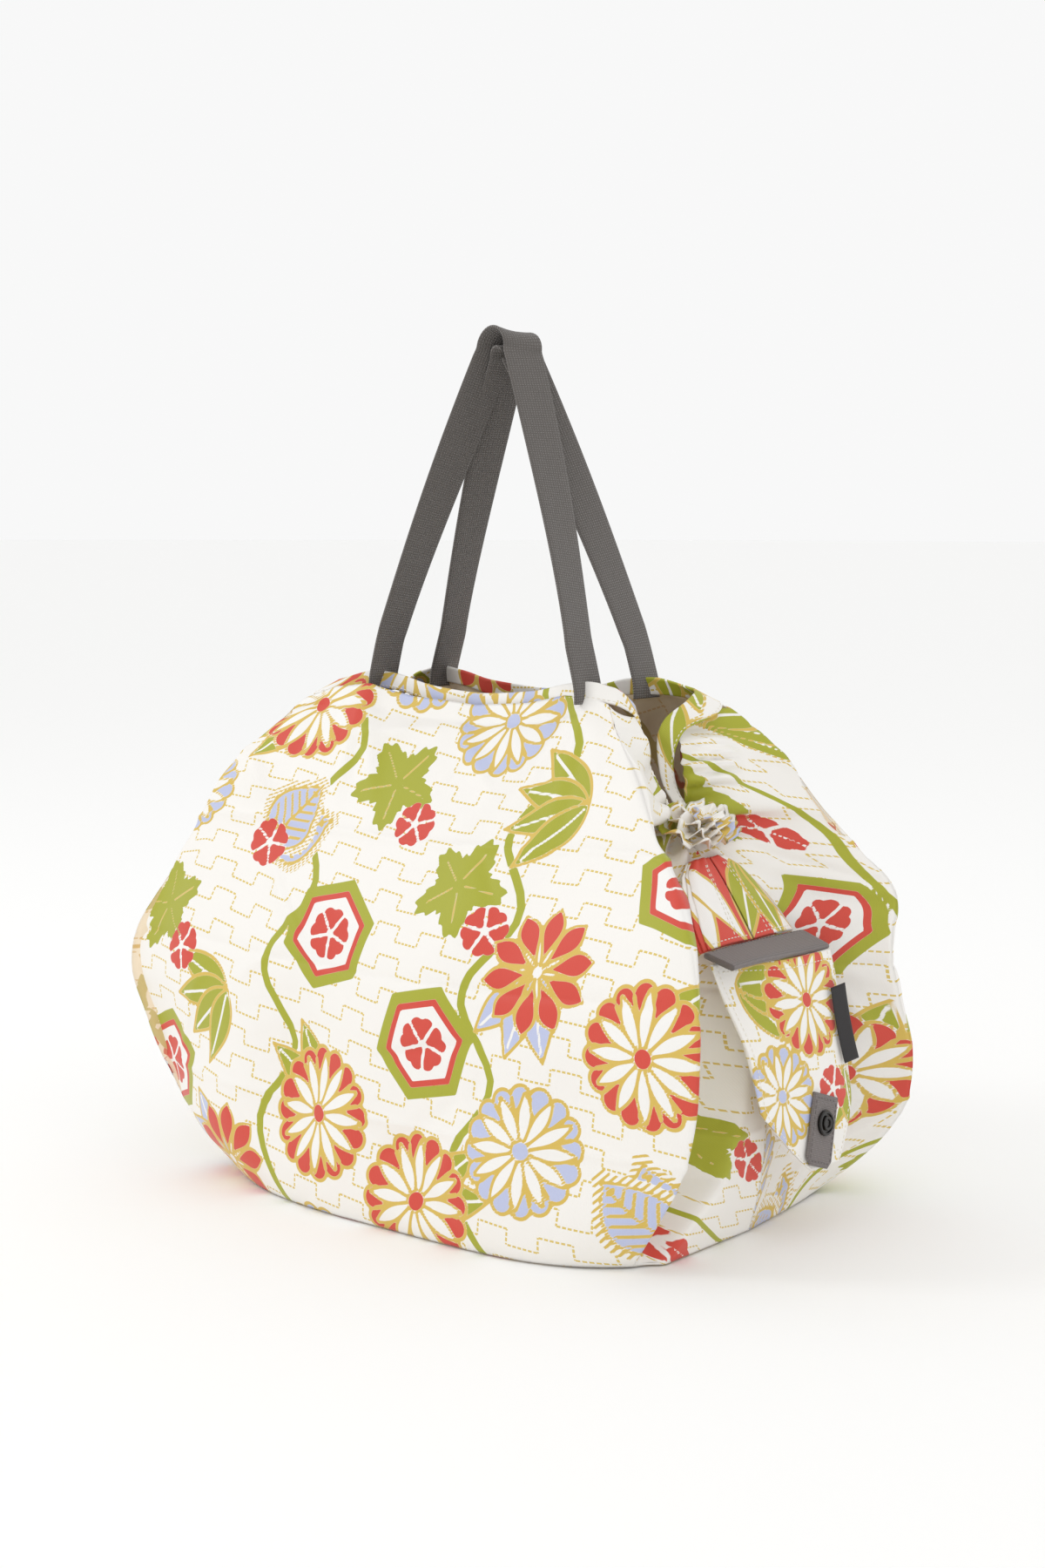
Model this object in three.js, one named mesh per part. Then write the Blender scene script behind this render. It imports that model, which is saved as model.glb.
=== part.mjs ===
// Foldable tote bag: a thin soft body whose ends gather into stitched pleat stacks, two webbing handles,
// a closing strap with a press snap. Millimetres, +Z up, X along the mouth, -Y the front face.
import * as THREE from "three";

// Driving dimensions
const RIM_Z = 313; // rim height at the handles
const RIM_SAG = 10; // how far the rim dips between the handles
const TOTAL_H = 520; // floor to the top of the handles
const BASE_HX = 167; // half length of the base
const BASE_HY = 97; // half depth of the base at its corners
const LOBE_HX = 219; // half length at the fullest height
const LOBE_HY = 108; // half depth there, at the corner folds
const MOUTH_HX = 88; // half length of the level part of the mouth
const MOUTH_HY = 28; // half width of the mouth
const CLOTH = 1.6; // thickness of a cloth solid
const HEM_T = 2.4; // thickness of the folded rim hem
const HEM_W = 10; // width of the rim hem
const GAP = 0.3; // running gap between touching pieces
const HANDLE_X = 81; // handle centre line at the rim
const WEB_W = 25; // webbing width
const WEB_T = 2; // webbing thickness
const TAPE_L = 97; // length of an end tape
const TAPE_W = 21; // width of an end tape
const TAPE_T = 4.4; // thickness of the folded tape
const PLEAT_T = 5; // thickness of a stitched pleat stack
const STRAP_HW = 47; // half width of the closing strap at its root
const STRAP_T = 2; // thickness of the closing strap
const TAB = [2.2, 25, 41]; // snap tab: thickness, width, length
const SNAP_UP = 4.5; // the snap's height above the tab's middle
const RIVET_R = 2.3; // rivet that holds the snap through tab and strap
const SNAP_R = 7.3; // press snap radius
const LABEL = [0.8, 10.5, 46]; // side label: thickness, width, length

// Tied values
const BASE_T = 2;
const PANEL_Z0 = BASE_T + GAP;
const HINGE_Z = RIM_Z + 17; // height of the handles' swing axes
const FOOT_Y = MOUTH_HY + 0.2; // their distance from the middle plane
const LEVELS = [0, 0.03, 0.08, 0.19, 0.3, 0.387, 0.479, 0.537, 0.578, 0.607, 0.677, 0.732, 0.773, 0.872, 0.94, 1];
const Z_OF = LEVELS.map((f) => f * RIM_Z);
/** An end's distance x at height z, moved out with the lobes and left alone near the mouth. */
function grow(x, z) {
  const share = Math.min(Math.max((RIM_Z - 78 - z) / 55, 0), 1);
  return x * (1 + (LOBE_HX / 219 - 1) * share);
}
// Corner fold: half length and half depth at each level, from the base to the rim.
const HX = [BASE_HX, BASE_HX + 7, 186, 205, 216, 219, 216, 209, 203, 197, 180, 163, 150, 122, 103, 92].map(
  (v, i) => (i < 2 ? v : grow(v, Z_OF[i])),
);
const HY = [97, 98, 100, 102, 106, 108, 104, 98, 93, 89, 78, 69, 62, 45, 36, 30].map(
  (v) => v * (LOBE_HY / 108),
);
// End centre line, where the two halves of an end meet.
const CX = [177, 180, 184, 188, 187, 184, 179, 172.8, 164.2, 158.1, 143.8, 128.5, 119, 112, 107, 98].map(
  (v, i) => grow(v, Z_OF[i]),
);
// How far the front face swells past its corner folds, and how deep an end folds in.
const SWELL = [20, 23, 24, 23, 20, 19, 18, 17, 16, 15, 12, 10, 8, 4, 1, 0];
const TUCK = [2, 5, 9, 13, 14, 14, 13, 12, 10, 9, 8, 5, 3, 1, 0, 0];

const root = new THREE.Group();
root.name = "foldable_tote_bag";

/** Linear interpolation in a table. */
function lerpTable(xs, ys, x) {
  if (x <= xs[0]) return ys[0];
  for (let i = 1; i < xs.length; i++)
    if (x <= xs[i]) return ys[i - 1] + ((ys[i] - ys[i - 1]) * (x - xs[i - 1])) / (xs[i] - xs[i - 1]);
  return ys[ys.length - 1];
}
const at = (table, z) => lerpTable(Z_OF, table, z);

/** Adds a named mesh with its own finish. */
function addPiece(name, geometry, color, parent = root) {
  const material = new THREE.MeshStandardMaterial({ color, roughness: 0.8 });
  material.name = name + "_finish";
  const mesh = new THREE.Mesh(geometry, material);
  mesh.name = name;
  parent.add(mesh);
  return mesh;
}

/** Closed solid from two equal grids of points, the upper facing out. */
function solidBetween(upper, lower) {
  const rows = upper.length, cols = upper[0].length, pos = [], idx = [];
  for (const grid of [upper, lower]) for (const row of grid) for (const p of row) pos.push(p.x, p.y, p.z);
  const id = (side, i, j) => side * rows * cols + i * cols + j;
  const quad = (a, b, c, d) => idx.push(a, b, c, a, c, d);
  for (let i = 0; i + 1 < rows; i++)
    for (let j = 0; j + 1 < cols; j++) {
      quad(id(0, i, j), id(0, i, j + 1), id(0, i + 1, j + 1), id(0, i + 1, j));
      quad(id(1, i, j), id(1, i + 1, j), id(1, i + 1, j + 1), id(1, i, j + 1));
    }
  const edge = [];
  for (let j = 0; j < cols; j++) edge.push([0, j]);
  for (let i = 1; i < rows; i++) edge.push([i, cols - 1]);
  for (let j = cols - 2; j >= 0; j--) edge.push([rows - 1, j]);
  for (let i = rows - 2; i > 0; i--) edge.push([i, 0]);
  edge.forEach(([i, j], k) => {
    const [m, n] = edge[(k + 1) % edge.length];
    quad(id(0, i, j), id(1, i, j), id(1, m, n), id(0, m, n));
  });
  const g = new THREE.BufferGeometry();
  g.setAttribute("position", new THREE.Float32BufferAttribute(pos, 3));
  g.setIndex(idx);
  g.computeVertexNormals();
  return g;
}

/** A sheet of one thickness about a middle surface point(u, v), u and v from 0 to 1. */
function sheet(point, nu, nv, thickness) {
  const mid = [], h = 1e-3;
  for (let i = 0; i <= nv; i++) {
    const row = [];
    for (let j = 0; j <= nu; j++) row.push(point(j / nu, i / nv));
    mid.push(row);
  }
  const upper = [], lower = [];
  mid.forEach((row, i) => {
    upper.push([]);
    lower.push([]);
    row.forEach((p, j) => {
      const u = j / nu, v = i / nv;
      const du = point(Math.min(u + h, 1), v).sub(point(Math.max(u - h, 0), v));
      const dv = point(u, Math.min(v + h, 1)).sub(point(u, Math.max(v - h, 0)));
      const n = du.cross(dv).normalize().multiplyScalar(thickness / 2);
      upper[i].push(p.clone().add(n));
      lower[i].push(p.clone().sub(n));
    });
  });
  return solidBetween(upper, lower);
}

/** The same solid mirrored in X and/or Y, its faces still outward. */
function mirrored(geometry, sx, sy) {
  const g = geometry.clone().scale(sx, sy, 1);
  if (sx * sy < 0) {
    const index = Array.from(g.index ? g.index.array : g.getAttribute("position").array.keys());
    if (!g.index) index.length = g.getAttribute("position").count;
    for (let i = 0; i < index.length; i += 3) [index[i + 1], index[i + 2]] = [index[i + 2], index[i + 1]];
    g.setIndex(index);
  }
  g.computeVertexNormals();
  return g;
}

const V = (x, y, z) => new THREE.Vector3(x, y, z);

// Rim: top and lower edge of the hem for the front right quarter, from the middle of the mouth to the gather.
const RIM = [
  [0, -MOUTH_HY - 0.5, RIM_Z - RIM_SAG],
  [40, -MOUTH_HY - 0.5, RIM_Z - 7],
  [66, -MOUTH_HY - 0.3, RIM_Z - 1.5],
  [MOUTH_HX, -MOUTH_HY, RIM_Z],
  [MOUTH_HX + 5, -20, RIM_Z - 5],
  [MOUTH_HX + 6, -12, RIM_Z - 14],
  [MOUTH_HX + 9, -8, RIM_Z - 29],
  [MOUTH_HX + 14, -6, RIM_Z - 45],
  [MOUTH_HX + 21, -5, RIM_Z - 59],
  [MOUTH_HX + 30, -4, RIM_Z - 71],
];
const RIM_LOW = [
  [0, -MOUTH_HY - 1, RIM_Z - RIM_SAG - HEM_W],
  [40, -MOUTH_HY - 1, RIM_Z - 7 - HEM_W],
  [66, -MOUTH_HY - 1.3, RIM_Z - 1.5 - HEM_W],
  [MOUTH_HX + 1, -MOUTH_HY - 2.2, RIM_Z - HEM_W],
  [MOUTH_HX + 9, -MOUTH_HY + 1, RIM_Z - 12],
  [MOUTH_HX + 14, -18, RIM_Z - 19],
  [MOUTH_HX + 18, -13, RIM_Z - 33],
  [MOUTH_HX + 23, -10, RIM_Z - 49],
  [MOUTH_HX + 30, -9, RIM_Z - 63],
  [MOUTH_HX + 38, -9, RIM_Z - 75],
];

/** Front hem as one folded band along the whole mouth. */
function hemGeometry() {
  const along = (list) => {
    const left = list.slice(1).reverse().map(([x, y, z]) => V(-x, y, z));
    return left.concat(list.map(([x, y, z]) => V(x, y, z)));
  };
  const top = along(RIM), low = along(RIM_LOW), n = top.length - 1;
  return sheet(
    (u, v) => {
      const k = Math.min(Math.floor(u * n), n - 1), f = u * n - k;
      const a = low[k].clone().lerp(low[k + 1], f), b = top[k].clone().lerp(top[k + 1], f);
      return a.lerp(b, v);
    },
    n,
    1,
    HEM_T,
  );
}

/** Front face of the bag, from the base to just below the hem. */
function facePoint(u, v) {
  const s = 2 * u - 1, a = Math.abs(s);
  const top = lerpTable(
    [0, 0.4, 0.68, 0.9, 1],
    [RIM_SAG + HEM_W, 7 + HEM_W, 1.5 + HEM_W, HEM_W + 0.6, 20],
    a,
  );
  const z = PANEL_Z0 + v * (RIM_Z - top - GAP - PANEL_Z0);
  return V(s * at(HX, z), -(at(HY, z) + at(SWELL, z) * (1 - s * s)), z);
}

/** Front half of the right end: from the corner fold to the centre line, or to the hem beside the slit. */
function endPoint(u, v) {
  const z0 = PANEL_Z0 + 0.2, z = z0 + v * (RIM_Z - 20.5 - z0);
  const slit = z > RIM_Z - 79;
  const inner = slit
    ? [
        lerpTable(RIM_LOW.map((p) => p[2]).slice(5).reverse(), RIM_LOW.map((p) => p[0]).slice(5).reverse(), z) + 1.6,
        lerpTable(RIM_LOW.map((p) => p[2]).slice(5).reverse(), RIM_LOW.map((p) => p[1]).slice(5).reverse(), z) - 1.2,
      ]
    : [at(CX, z), lerpTable([0, RIM_Z - 88, RIM_Z - 79], [-0.6, -0.6, -10.2], z)];
  const y0 = -at(HY, z) + CLOTH / 2 + 1.3, q = 1 - u;
  const y = inner[1] + (y0 - inner[1]) * q;
  const x = inner[0] + (at(HX, z) - inner[0]) * (slit ? q : Math.pow(q, 2.6));
  return V(x - at(TUCK, z) * Math.sin(Math.PI * q), y, z);
}

/** Base plate: the outline of the faces and ends at the floor. */
function baseGeometry() {
  const shape = new THREE.Shape(), pts = [];
  for (let j = 0; j <= 16; j++) { const p = facePoint(j / 16, 0); pts.push([p.x, p.y]); }
  for (let j = 1; j <= 5; j++) { const p = endPoint(j / 5, 0); pts.push([p.x, p.y]); }
  for (let j = 4; j >= 0; j--) { const p = endPoint(j / 5, 0); pts.push([p.x, -p.y]); }
  for (let j = 16; j >= 0; j--) { const p = facePoint(j / 16, 0); pts.push([p.x, -p.y]); }
  for (let j = 1; j <= 5; j++) { const p = endPoint(j / 5, 0); pts.push([-p.x, -p.y]); }
  for (let j = 4; j > 0; j--) { const p = endPoint(j / 5, 0); pts.push([-p.x, p.y]); }
  pts.forEach(([x, y], i) => (i ? shape.lineTo(x, y) : shape.moveTo(x, y)));
  return new THREE.ExtrudeGeometry(shape, { depth: BASE_T, bevelEnabled: false });
}

/** Gathered frill where the two hems meet above a pleat stack. */
function gatherGeometry(rx, ry, rz) {
  const profile = [];
  for (let i = 0; i <= 10; i++) {
    const t = -Math.PI / 2 + (Math.PI * i) / 10;
    profile.push(new THREE.Vector2(i === 0 || i === 10 ? 0 : Math.cos(t), Math.sin(t)));
  }
  return new THREE.LatheGeometry(profile, 20).rotateX(Math.PI / 2).scale(rx, ry, rz);
}

// Pleat stack: its middle line on the end, top to bottom.
const STACK_TOP = [147, 214], STACK_LOW = [176.6, 169.4];
/** Front half of the right pleat stack. */
function stackGeometry() {
  return sheet(
    (u, v) => {
      const x = STACK_LOW[0] + (STACK_TOP[0] - STACK_LOW[0]) * v;
      const z = STACK_LOW[1] + (STACK_TOP[1] - STACK_LOW[1]) * v;
      return V(grow(x, z), -GAP / 2 - (1 - u) * (TAPE_L / 2 - 3 - 11 * v), z);
    },
    4,
    4,
    PLEAT_T,
  );
}

/** End tape: a folded band that binds the lower end of a pleat stack and stands out from it. */
const TAPE_IN = [178.2, 168.2], TAPE_DROP = 0.3;
function tapeGeometry() {
  const c = Math.cos(TAPE_DROP), s = Math.sin(TAPE_DROP), r = 1.2;
  const shape = new THREE.Shape();
  const x1 = TAPE_W, h = TAPE_T / 2;
  shape.moveTo(0, -h);
  shape.lineTo(x1 - r, -h);
  shape.absarc(x1 - r, -h + r, r, -Math.PI / 2, 0, false);
  shape.lineTo(x1, h - r);
  shape.absarc(x1 - r, h - r, r, 0, Math.PI / 2, false);
  shape.lineTo(0, h);
  shape.closePath();
  const g = new THREE.ExtrudeGeometry(shape, { depth: TAPE_L, bevelEnabled: false, curveSegments: 3 });
  // the shape's x runs along the band's width, its y is the band's thickness, and the length lies along Y
  const m = new THREE.Matrix4().makeBasis(V(c, 0, -s), V(s, 0, c), V(0, -1, 0));
  g.applyMatrix4(m).translate(grow(...TAPE_IN), TAPE_L / 2, TAPE_IN[1]);
  return g;
}

/** A bent band of webbing: legs from two round ends to a rounded top, width along Y, leaned about the ends. */
function handleGeometry(topZ, topR, bowing, lean, y) {
  const path = [], legs = 7, arc = 8, cz = topZ - WEB_T / 2 - topR, r = WEB_W / 2;
  for (const drop of [0.97, 0.87, 0.7, 0.4]) path.push([HANDLE_X, HINGE_Z - r * drop, r * Math.sqrt(1 - drop * drop)]);
  for (let i = 0; i <= legs; i++) {
    const t = i / legs, bow = bowing * Math.sin(Math.PI * t);
    path.push([HANDLE_X + (topR - HANDLE_X) * t + bow, HINGE_Z + (cz - HINGE_Z) * t, r]);
  }
  const half = path.slice();
  for (let i = 1; i < arc; i++) {
    const a = (Math.PI * i) / arc;
    path.push([topR * Math.cos(a), cz + topR * Math.sin(a), r]);
  }
  for (const [x, z, w] of half.reverse()) path.push([-x, z, w]);
  const n = path.length - 1;
  const g = sheet(
    (u, v) => {
      const k = Math.min(Math.floor(v * n), n - 1), f = v * n - k;
      const [px, pz, pw] = path[k].map((c, i) => c + (path[k + 1][i] - c) * f);
      return V(px, (2 * u - 1) * pw, pz);
    },
    2,
    n,
    WEB_T,
  );
  return g.translate(0, 0, -HINGE_Z).rotateX(lean).translate(0, y, HINGE_Z);
}

/** Sewn foot of a handle: a webbing end that stands astride the hem, cut low on the side the handle falls to. */
function footGeometry() {
  const h = WEB_W / 2, rim = RIM_Z + 0.4, low = rim - 10, c = HINGE_Z;
  const outline = [
    [-h, low], [-3.4, low], [-1.7, rim], [1.85, rim], [0.1, low], [h, low],
    [h, c - 8], [9, c - 10.2], [5, c - 12.1], [1, c - 13.1], [-3.6, c - 14.4], [-h, c - 17.3],
  ];
  const shape = new THREE.Shape(outline.map(([a, b]) => new THREE.Vector2(a, b)));
  const g = new THREE.ExtrudeGeometry(shape, { depth: WEB_T, bevelEnabled: false });
  const m = new THREE.Matrix4().makeBasis(V(0, 1, 0), V(0, 0, 1), V(1, 0, 0));
  return g.applyMatrix4(m).translate(HANDLE_X - WEB_T / 2, -FOOT_Y, 0);
}

// Closing strap, a flat tapered band: [x, y shift, z, half width] at the root and at the start of its tip.
const STRAP = [
  [199.0, 0, 159.7, STRAP_HW],
  [207.7, 15, 74, STRAP_HW - 1],
];
const STRAP_RUN = Math.hypot(STRAP[1][0] - STRAP[0][0], STRAP[1][2] - STRAP[0][2]);
/** Middle surface of the strap: u across, v up from the tip's start to the root. */
function strapPoint(u, v) {
  const [x, y, z, w] = STRAP[1].map((a, i) => a + (STRAP[0][i] - a) * v);
  return V(grow(x, z), y + (2 * u - 1) * w, z);
}

// The press snap sits below the strap's tip line: how far down and to the side, and the tab's turn there.
const SNAP_DROP = 9.5, SNAP_SIDE = 7, TAB_ROLL = -0.33;
const SNAP_V = -SNAP_DROP / STRAP_RUN, SNAP_U = 0.5 + SNAP_SIDE / (2 * STRAP[1][3]);

/** Puts a flat piece against the strap's outer face: its middle at (u, v), stood off, turned by roll. */
function onStrap(g, u, v, off, roll) {
  const h = 1e-3;
  const p = strapPoint(u, v);
  const du = strapPoint(u + h, v).sub(strapPoint(u - h, v)).normalize();
  const dv = strapPoint(u, v + h).sub(strapPoint(u, v - h)).normalize();
  const n = du.clone().cross(dv).normalize();
  const up = n.clone().cross(du).normalize();
  g.rotateX(roll).applyMatrix4(new THREE.Matrix4().makeBasis(n, du, up));
  return g.translate(p.x + n.x * off, p.y + n.y * off, p.z + n.z * off);
}

/** A flat piece that faces +X, from an outline of [y, z] pairs with one round hole. */
function plate(outline, t, holeY, holeZ, holeR) {
  const shape = new THREE.Shape(outline.map(([a, b]) => new THREE.Vector2(a, b)));
  const hole = new THREE.Path();
  hole.absarc(holeY, holeZ, holeR, 0, 2 * Math.PI, true);
  shape.holes.push(hole);
  const g = new THREE.ExtrudeGeometry(shape, { depth: t, bevelEnabled: false, curveSegments: 10 });
  const m = new THREE.Matrix4().makeBasis(V(0, 1, 0), V(0, 0, 1), V(1, 0, 0));
  return g.translate(0, 0, -t / 2).applyMatrix4(m);
}

/** Snap tab, its lower corners cut off. */
function tabGeometry() {
  const [t, w, l] = TAB, c = 4, a = w / 2, b = l / 2;
  const outline = [[-a, b], [-a, c - b], [c - a, -b], [a - c, -b], [a, c - b], [a, b]];
  return plate(outline, t, 0, SNAP_UP, RIVET_R + GAP);
}

/** Tip of the strap, which narrows behind the tab: y and z from the snap's centre. */
function tipGeometry() {
  const top = SNAP_DROP - GAP, low = -26, a = STRAP[1][3] - 1;
  const shift = -SNAP_SIDE;
  const outline = [[shift - a, top], [-13, low], [12, low], [shift + a, top]];
  return plate(outline, STRAP_T, 0, 0, RIVET_R + GAP);
}

/** A turned piece about X from [radius, x] pairs. */
function turned(pairs, segments = 24) {
  const g = new THREE.LatheGeometry(pairs.map(([r, x]) => new THREE.Vector2(r, x)), segments);
  return g.rotateZ(-Math.PI / 2);
}

// Build
const CLOTH_C = 0xe9e2d6, GREY = 0x7f7a77, TAPE_C = 0x857c7c, BLACK = 0x1b1719;
const face = sheet(facePoint, 16, 15, CLOTH);
addPiece("front_panel", face, CLOTH_C);
addPiece("back_panel", mirrored(face, 1, -1), CLOTH_C);
addPiece("bottom_panel", baseGeometry(), CLOTH_C);
const end = sheet(endPoint, 8, 15, CLOTH);
addPiece("right_end_front", end, CLOTH_C);
addPiece("right_end_back", mirrored(end, 1, -1), CLOTH_C);
addPiece("left_end_front", mirrored(end, -1, 1), CLOTH_C);
addPiece("left_end_back", mirrored(end, -1, -1), CLOTH_C);
const hem = hemGeometry();
addPiece("front_hem", hem, CLOTH_C);
addPiece("back_hem", mirrored(hem, 1, -1), CLOTH_C);
const gather = gatherGeometry(19, 19, 9).rotateY(0.6).translate(grow(142.2, 232.2), 0, 232.2);
addPiece("right_gather", gather, CLOTH_C);
addPiece("left_gather", mirrored(gather, -1, 1), CLOTH_C);
const foot = footGeometry();
addPiece("front_right_foot", foot, GREY);
addPiece("front_left_foot", mirrored(foot, -1, 1), GREY);
addPiece("back_right_foot", mirrored(foot, 1, -1), GREY);
addPiece("back_left_foot", mirrored(foot, -1, -1), GREY);
const reach = TOTAL_H - HINGE_Z, lean = Math.atan(FOOT_Y / reach);
addPiece("front_handle", handleGeometry(TOTAL_H, 10.5, 5, -lean, -FOOT_Y), GREY);
addPiece("back_handle", handleGeometry(TOTAL_H - 8.5, 4.6, 2, lean, FOOT_Y), GREY);
const stack = stackGeometry();
addPiece("right_stack_front", stack, CLOTH_C);
addPiece("right_stack_back", mirrored(stack, 1, -1), CLOTH_C);
addPiece("left_stack_front", mirrored(stack, -1, 1), CLOTH_C);
addPiece("left_stack_back", mirrored(stack, -1, -1), CLOTH_C);
const tape = tapeGeometry();
addPiece("right_tape", tape, TAPE_C);
addPiece("left_tape", mirrored(tape, -1, 1), TAPE_C);
addPiece("closing_strap", sheet(strapPoint, 4, 4, STRAP_T), CLOTH_C);
addPiece("strap_tip", onStrap(tipGeometry(), SNAP_U, SNAP_V, 0, 0), CLOTH_C);
const tabOff = STRAP_T / 2 + GAP + TAB[0] / 2, tab = tabGeometry().translate(0, 0, -SNAP_UP);
addPiece("snap_tab", onStrap(tab, SNAP_U, SNAP_V, tabOff, TAB_ROLL), TAPE_C);
const tabFace = tabOff + TAB[0] / 2 + GAP, back = -STRAP_T / 2 - GAP;
const rivet = [[0, back - 1.1], [5.6, back - 1.1], [5.9, back], [RIVET_R, back], [RIVET_R, tabFace - GAP], [0, tabFace - GAP]];
addPiece("snap_rivet", onStrap(turned(rivet), SNAP_U, SNAP_V, 0, 0), BLACK);
const cap = [[0, 0], [SNAP_R, 0], [SNAP_R, 1.4], [SNAP_R - 0.6, 2], [5.7, 2], [5.3, 1.1], [0, 1.1]];
addPiece("snap_cap", onStrap(turned(cap), SNAP_U, SNAP_V, tabFace, 0), BLACK);
const cup = [[0, 0], [4.2, 0], [4.2, 0.9], [3.8, 1.4], [2.7, 1.4], [2.3, 1], [2.3, 0.5], [0, 0.5]];
addPiece("snap_socket", onStrap(turned(cup), SNAP_U, SNAP_V, tabFace + 1.4, 0), BLACK);
const stud = [[0, -4.6], [1.6, -4.6], [2.1, -4], [1.8, -2.6], [2.1, -1.4], [5.6, -1.2], [6, 0], [0, 0]];
addPiece("snap_stud", onStrap(turned(stud), 0.5, 0.74, back, 0), BLACK);
const labelOff = STRAP_T / 2 + GAP + LABEL[0] / 2;
addPiece("side_label", onStrap(new THREE.BoxGeometry(...LABEL), 0.93, 0.5, labelOff, -0.12), BLACK);

export default root;
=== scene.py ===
"""Foldable tote bag: a printed cloth shell with gathered ends, pleat stacks, webbing handles and a strap.

Lengths inside the classes are millimetres in the part's own frame: X along the mouth, -Y the front face,
+Z up, the floor at z = 0. Meshes are written in metres.
"""

import logging
import math
from dataclasses import dataclass
from enum import Enum
from typing import Sequence

import bmesh
import bpy
import numpy as np
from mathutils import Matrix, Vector


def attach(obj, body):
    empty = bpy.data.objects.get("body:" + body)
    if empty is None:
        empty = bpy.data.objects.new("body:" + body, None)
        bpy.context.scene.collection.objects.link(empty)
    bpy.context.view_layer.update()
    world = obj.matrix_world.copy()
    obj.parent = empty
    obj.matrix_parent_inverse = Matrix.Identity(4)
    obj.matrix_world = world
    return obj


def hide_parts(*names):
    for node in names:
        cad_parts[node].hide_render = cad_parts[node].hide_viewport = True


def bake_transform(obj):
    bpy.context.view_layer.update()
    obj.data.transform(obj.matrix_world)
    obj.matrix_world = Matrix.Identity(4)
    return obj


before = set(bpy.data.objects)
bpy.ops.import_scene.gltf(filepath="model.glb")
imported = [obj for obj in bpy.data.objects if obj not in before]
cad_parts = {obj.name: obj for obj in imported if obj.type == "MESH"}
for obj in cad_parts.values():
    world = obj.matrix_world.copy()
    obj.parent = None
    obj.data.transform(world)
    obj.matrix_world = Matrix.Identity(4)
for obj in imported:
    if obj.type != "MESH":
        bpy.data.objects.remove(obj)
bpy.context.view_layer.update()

MM = 0.001
SEED = 7
FLAT = "flat"  # the UV map that holds each point's place on the flat cloth
HANDLE_TOP = 520.0
BACK_SHIFT = (437, 41)  # how far along the roll the back half is cut
GATHER = (142.2, 0.0, 232.2)  # middle of the right end's gather
log = logging.getLogger("tote")

Array = np.ndarray
Point = tuple[float, float]
Feed = float | tuple | bpy.types.NodeSocket  # what a shader input takes


# ---------------------------------------------------------------- small tools


def linear(code: str) -> tuple[float, float, float, float]:
    """Turns an sRGB hex code into a linear colour.

    Args:
        code: Six hex digits after a hash sign.
    Returns:
        Red, green, blue and alpha as Blender's sockets take them.
    """
    raw = [int(code[i : i + 2], 16) / 255 for i in (1, 3, 5)]
    return tuple(c / 12.92 if c <= 0.04045 else ((c + 0.055) / 1.055) ** 2.4 for c in raw) + (1.0,)


def node(
    tree: bpy.types.NodeTree, kind: str, settings: dict | None = None, inputs: dict | None = None
) -> bpy.types.Node:
    """Adds one shader node with its settings and links.

    Args:
        tree: The node tree that takes it.
        kind: Blender's node type, such as ShaderNodeMath.
        settings: Attribute names and their values.
        inputs: Input names or numbers, each with a plain value or the output socket that feeds it.
    Returns:
        The new node.
    """
    made = tree.nodes.new(kind)
    for key, value in (settings or {}).items():
        setattr(made, key, value)
    for key, value in (inputs or {}).items():
        if isinstance(value, bpy.types.NodeSocket):
            tree.links.new(value, made.inputs[key])
        else:
            made.inputs[key].default_value = value
    return made


def new_material(name: str) -> tuple[bpy.types.Material, bpy.types.NodeTree, bpy.types.Node]:
    """A material with its tree and its principled shader.

    Args:
        name: The material's name.
    Returns:
        The material, its tree and its shader.
    """
    material = bpy.data.materials.new(name)
    material.use_nodes = True
    return material, material.node_tree, material.node_tree.nodes["Principled BSDF"]


def mix(
    tree: bpy.types.NodeTree, factor: Feed, a: Feed, b: Feed, kind: str = "RGBA"
) -> bpy.types.NodeSocket:
    """Blends a into b, colours or plain numbers.

    Args:
        tree: The material's tree.
        factor: 0 gives a and 1 gives b.
        a: First value.
        b: Second value.
        kind: RGBA for colours, FLOAT for numbers.
    Returns:
        The blend's output.
    """
    made = node(tree, "ShaderNodeMix", {"data_type": kind}, {"Factor": factor, "A": a, "B": b})
    return made.outputs["Result" if kind == "RGBA" else 0]


def smooth_table(xs: Sequence[float], ys: Sequence[float], x: Array) -> Array:
    """Reads a table with a smooth curve through its points, level outside it.

    Args:
        xs: Rising places of the table.
        ys: Values there.
        x: Places to read.
    Returns:
        Cubic Hermite values, the slope at each point taken from its neighbours.
    """
    xs, ys = np.asarray(xs, float), np.asarray(ys, float)
    slope = np.gradient(ys, xs)
    x = np.clip(x, xs[0], xs[-1])
    k = np.clip(np.searchsorted(xs, x) - 1, 0, len(xs) - 2)
    h = xs[k + 1] - xs[k]
    t = (x - xs[k]) / h
    a, b = 2 * t**3 - 3 * t**2 + 1, t**3 - 2 * t**2 + t
    return a * ys[k] + b * h * slope[k] + (1 - a) * ys[k + 1] + (t**3 - t**2) * h * slope[k + 1]


def smooth_path(points: Sequence[Sequence[float]], count: int) -> Array:
    """Runs a smooth line through points, evenly spaced along its length.

    Args:
        points: The points that shape it, two or three numbers each.
        count: How many points come back.
    Returns:
        The line's points.
    """
    p = np.asarray(points, float)
    run = np.concatenate([[0], np.cumsum(np.linalg.norm(np.diff(p, axis=0), axis=1))])
    dense = np.linspace(0, run[-1], count * 4)
    q = np.stack([smooth_table(run, p[:, i], dense) for i in range(p.shape[1])], 1)
    along = np.concatenate([[0], np.cumsum(np.linalg.norm(np.diff(q, axis=0), axis=1))])
    even = np.linspace(0, along[-1], count)
    return np.stack([np.interp(even, along, q[:, i]) for i in range(p.shape[1])], 1)


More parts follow.
